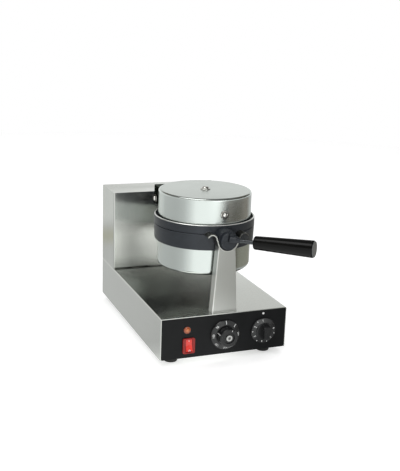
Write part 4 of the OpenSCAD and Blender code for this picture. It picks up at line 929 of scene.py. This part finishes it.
# The first two rows are one flag that lies across the seam at 180 degrees
WALL_FLAGS = (
    ((140, 182, 4), (0.67, 2.2, 0.08), (0.76, 0.77, 0.75)),
    ((-182, -140, 4), (0.67, 2.2, 0.08), (0.76, 0.77, 0.75)),
    ((-64, 20, 10), (0.78, 2.2, 0.08), (0.20, 0.195, 0.17)),
    ((18, 130, 4), (0.68, 1.7, 0.06), (0.012, 0.011, 0.008)),
    ((8, 130, 8), (0.77, 1.7, 0.08), (0.012, 0.011, 0.008)),
    ((-190, 190, 2), (1.10, 2.2, 0.12), (0.12, 0.11, 0.09)),
)
CEILING_FLAGS = (
    ((-115, -15, 8), (0.45, 1.45, 0.15), (9.0, 9.0, 8.9)),
)
ROOM_TINT = (1.0, 1.02, 1.005)

# The room, in metres: rings of points are closer together where the steel mirrors their edges
WALL_RADIUS = 1.92
CEILING_HEIGHT = 2.0
CEILING_LEVEL = 0.3
TABLE_HEIGHT = 0.0015
TABLE_REACHES = [0.0, 0.2, 0.3] + [0.36 + 0.04 * i for i in range(20)] + [1.3, 1.6, WALL_RADIUS]
WALL_HEIGHTS = [0.0, 0.3, 0.45] + [0.54 + 0.04 * i for i in range(14)] + [1.3, 1.6, CEILING_HEIGHT]
CEILING_REACHES = (WALL_RADIUS, 1.55, 1.4, 1.0, 0.55, 0.4, 0.0)
RING_STEPS = 180

FLOOR_RADIUS = 2.7
FLOOR_SEGMENTS = 96

# Directions of the camera's right and up
CAMERA_RIGHT = Vector((0.93152862, -0.3621051, 0.03367986))
CAMERA_UP = Vector((0.0643297, 0.25522221, 0.96474002))

# Place and size of the lamps, and the point that both aim at
KEY_PLACE, KEY_SIZE = (-1.2, -1.5, 1.9), (1.3, 1.3)
TOP_PLACE, TOP_SIZE = (0.3, 0.2, 2.3), (2.0, 1.6)
LAMP_AIM = Vector((0, 0, 0.2))


class Studio(bpy.types.Operator):
    """Camera, pale floor, soft lamps and the cards that the steel reflects"""

    bl_idname = "cone_maker.studio"
    bl_label = "Studio"

    def camera(self, s):
        """A long lens from the front left, a little above the machine."""
        data = bpy.data.cameras.new("camera")
        data.lens = s.lens
        data.sensor_width = 36.0
        data.clip_end = 50.0
        camera = link("camera", data)
        back = CAMERA_RIGHT.cross(CAMERA_UP)
        turn = Matrix((CAMERA_RIGHT, CAMERA_UP, back)).transposed().to_4x4()
        camera.matrix_world = Matrix.Translation(s.eye) @ turn
        bpy.context.scene.camera = camera

    def world(self, s):
        """White behind everything, dimmed where it only lights matt surfaces."""
        world = bpy.context.scene.world or bpy.data.worlds.new("studio")
        bpy.context.scene.world = world
        tree = empty_tree(world)
        level = add_node(tree, "ShaderNodeMapRange", {
            "Value": seen_directly(tree), "To Min": s.fill_level, "To Max": 1.0})
        sky = add_node(tree, "ShaderNodeBackground", {
            "Color": (1, 1, 1, 1), "Strength": level.outputs["Result"]})
        add_node(tree, "ShaderNodeOutputWorld", {"Surface": sky.outputs[0]})

    def floor(self, s):
        """Pale disc that adds some light of its own for the eye."""
        mat = bpy.data.materials.new("pale_floor")
        tree = empty_tree(mat)
        paint = add_node(tree, "ShaderNodeBsdfDiffuse", {"Color": tuple(s.floor_colour)})
        lift = add_node(tree, "ShaderNodeMath", {0: seen_directly(tree), 1: s.floor_lift},
                        operation="MULTIPLY")
        glow = add_node(tree, "ShaderNodeEmission", {"Strength": lift.outputs[0]})
        both = add_node(tree, "ShaderNodeAddShader", {0: paint.outputs[0], 1: glow.outputs[0]})
        add_node(tree, "ShaderNodeOutputMaterial", {"Surface": both.outputs[0]})
        bm = bmesh.new()
        bmesh.ops.create_circle(bm, cap_ends=True, radius=FLOOR_RADIUS, segments=FLOOR_SEGMENTS)
        mesh = bpy.data.meshes.new("floor")
        bm.to_mesh(mesh)
        bm.free()
        mesh.materials.append(mat)
        floor = link("floor", mesh)

    def lamp(self, name, place, size, power):
        """Soft flat lamp that points at the machine."""
        data = bpy.data.lights.new(name, "AREA")
        data.shape = "RECTANGLE"
        data.size, data.size_y = size
        data.energy = power
        lamp = link(name, data)
        lamp.location = place
        lamp.rotation_euler = (Vector(place) - LAMP_AIM).to_track_quat("Z", "Y").to_euler()

    def card(self, name, points, faces):
        """A card that only reflections see, from (place, colour) points."""
        mat = bpy.data.materials.new(name)
        tree = empty_tree(mat)
        shades = add_node(tree, "ShaderNodeAttribute", attribute_name="shade")
        glow = add_node(tree, "ShaderNodeEmission", {"Color": shades.outputs["Color"]})
        add_node(tree, "ShaderNodeOutputMaterial", {"Surface": glow.outputs[0]})
        mesh = bpy.data.meshes.new(name)
        mesh.from_pydata([place for place, _ in points], [], faces)
        attribute = mesh.color_attributes.new("shade", "FLOAT_COLOR", "POINT")
        for i, (_, tone) in enumerate(points):
            attribute.data[i].color = (*tone, 1.0)
        mesh.materials.append(mat)
        card = link(name, mesh)
        card.visible_camera = False
        card.visible_diffuse = False
        card.visible_shadow = False
        card.visible_transmission = False

    def tone(self, azimuth, reach, tones, flags):
        """Colour of the room in one direction from the drum, at one distance or height."""
        azimuth = (azimuth + 180) % 360 - 180
        for (a, tone_a), (b, tone_b) in zip(tones, tones[1:]):
            if a <= azimuth <= b:
                level = tone_a + (tone_b - tone_a) * (azimuth - a) / (b - a)
        colour = [level * tint for tint in ROOM_TINT]
        for turn, span, flag in flags:
            share = 1.0
            for value, (low, high, soft) in ((azimuth, turn), (reach, span)):
                inside = min(value - low, high - value) / soft + 0.5
                share *= min(1.0, max(0.0, inside))
            colour = [c + (f - c) * share for c, f in zip(colour, flag)]
        return colour

    def band(self, name, rows, level, tones, flags):
        """Ring of sheet round the drum, from rows of (radius, height, distance or height)."""
        points, faces = [], []
        for i in range(RING_STEPS + 1):
            azimuth = -180 + 360 * i / RING_STEPS
            turn = math.radians(azimuth)
            for radius, height, reach in rows:
                place = (DRUM.x + radius * math.sin(turn), DRUM.y - radius * math.cos(turn), height)
                points.append((place, [c * level for c in self.tone(azimuth, reach, tones, flags)]))
        count = len(rows)
        for i in range(RING_STEPS):
            for j in range(count - 1):
                a = i * count + j
                faces.append((a, a + 1, a + count + 1, a + count))
        self.card(name, points, faces)

    def room(self):
        """Table, wall and ceiling round the machine, which only reflections see."""
        self.band("table_ring", [(r, TABLE_HEIGHT, r) for r in TABLE_REACHES], 1.0,
                  OPEN_TABLE, TABLE_FLAGS)
        self.band("room_wall", [(WALL_RADIUS, z, z) for z in WALL_HEIGHTS], 1.0,
                  OPEN_WALL, WALL_FLAGS)
        self.band("ceiling", [(r, CEILING_HEIGHT, r) for r in CEILING_REACHES], CEILING_LEVEL,
                  OPEN_TABLE, CEILING_FLAGS)

    def execute(self, context):
        s = context.scene.cone_studio
        context.scene.view_settings.view_transform = "Standard"
        self.camera(s)
        self.world(s)
        self.floor(s)
        self.lamp("key_lamp", KEY_PLACE, KEY_SIZE, s.key_power)
        self.lamp("top_lamp", TOP_PLACE, TOP_SIZE, s.top_power)
        self.room()
        return {"FINISHED"}


class ConeMakerPanel(bpy.types.Panel):
    """Lists the steps that dress the machine"""

    bl_idname = "VIEW3D_PT_cone_maker"
    bl_label = "Cone maker"
    bl_space_type = "VIEW_3D"
    bl_region_type = "UI"
    bl_category = "Cone Maker"

    def draw(self, context):
        layout = self.layout
        for title, group, steps in SECTIONS:
            box = layout.box()
            box.label(text=title)
            for step in steps:
                box.operator(step.bl_idname)
            values = getattr(context.scene, group)
            for key in values.__annotations__:
                box.prop(values, key)


SECTIONS = (
    ("Steel", "cone_steel", (SheetSteel, DrumSteel, Fasteners)),
    ("Coats and plastics", "cone_coats", (CastIron, BlackParts, RedSwitch, AmberLens, HiddenParts)),
    ("Scales", "cone_scales", (ThermostatScale, TimerScale, IndexDot, RockerMarks)),
    ("Studio", "cone_studio", (Studio,)),
)
GROUPS = {"cone_steel": SteelSettings, "cone_coats": CoatSettings, "cone_scales": ScaleSettings,
          "cone_studio": StudioSettings}
STEPS = tuple(step for _, _, steps in SECTIONS for step in steps)
CLASSES = tuple(GROUPS.values()) + STEPS + (ConeMakerPanel,)


def register():
    for cls in CLASSES:
        bpy.utils.register_class(cls)
    for key, group in GROUPS.items():
        setattr(bpy.types.Scene, key, PointerProperty(type=group))


def unregister():
    for key in GROUPS:
        delattr(bpy.types.Scene, key)
    for cls in reversed(CLASSES):
        bpy.utils.unregister_class(cls)


def main():
    register()
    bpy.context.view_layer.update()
    for step in STEPS:
        area, name = step.bl_idname.split(".")
        getattr(getattr(bpy.ops, area), name)()


if __name__ == "__main__":
    main()
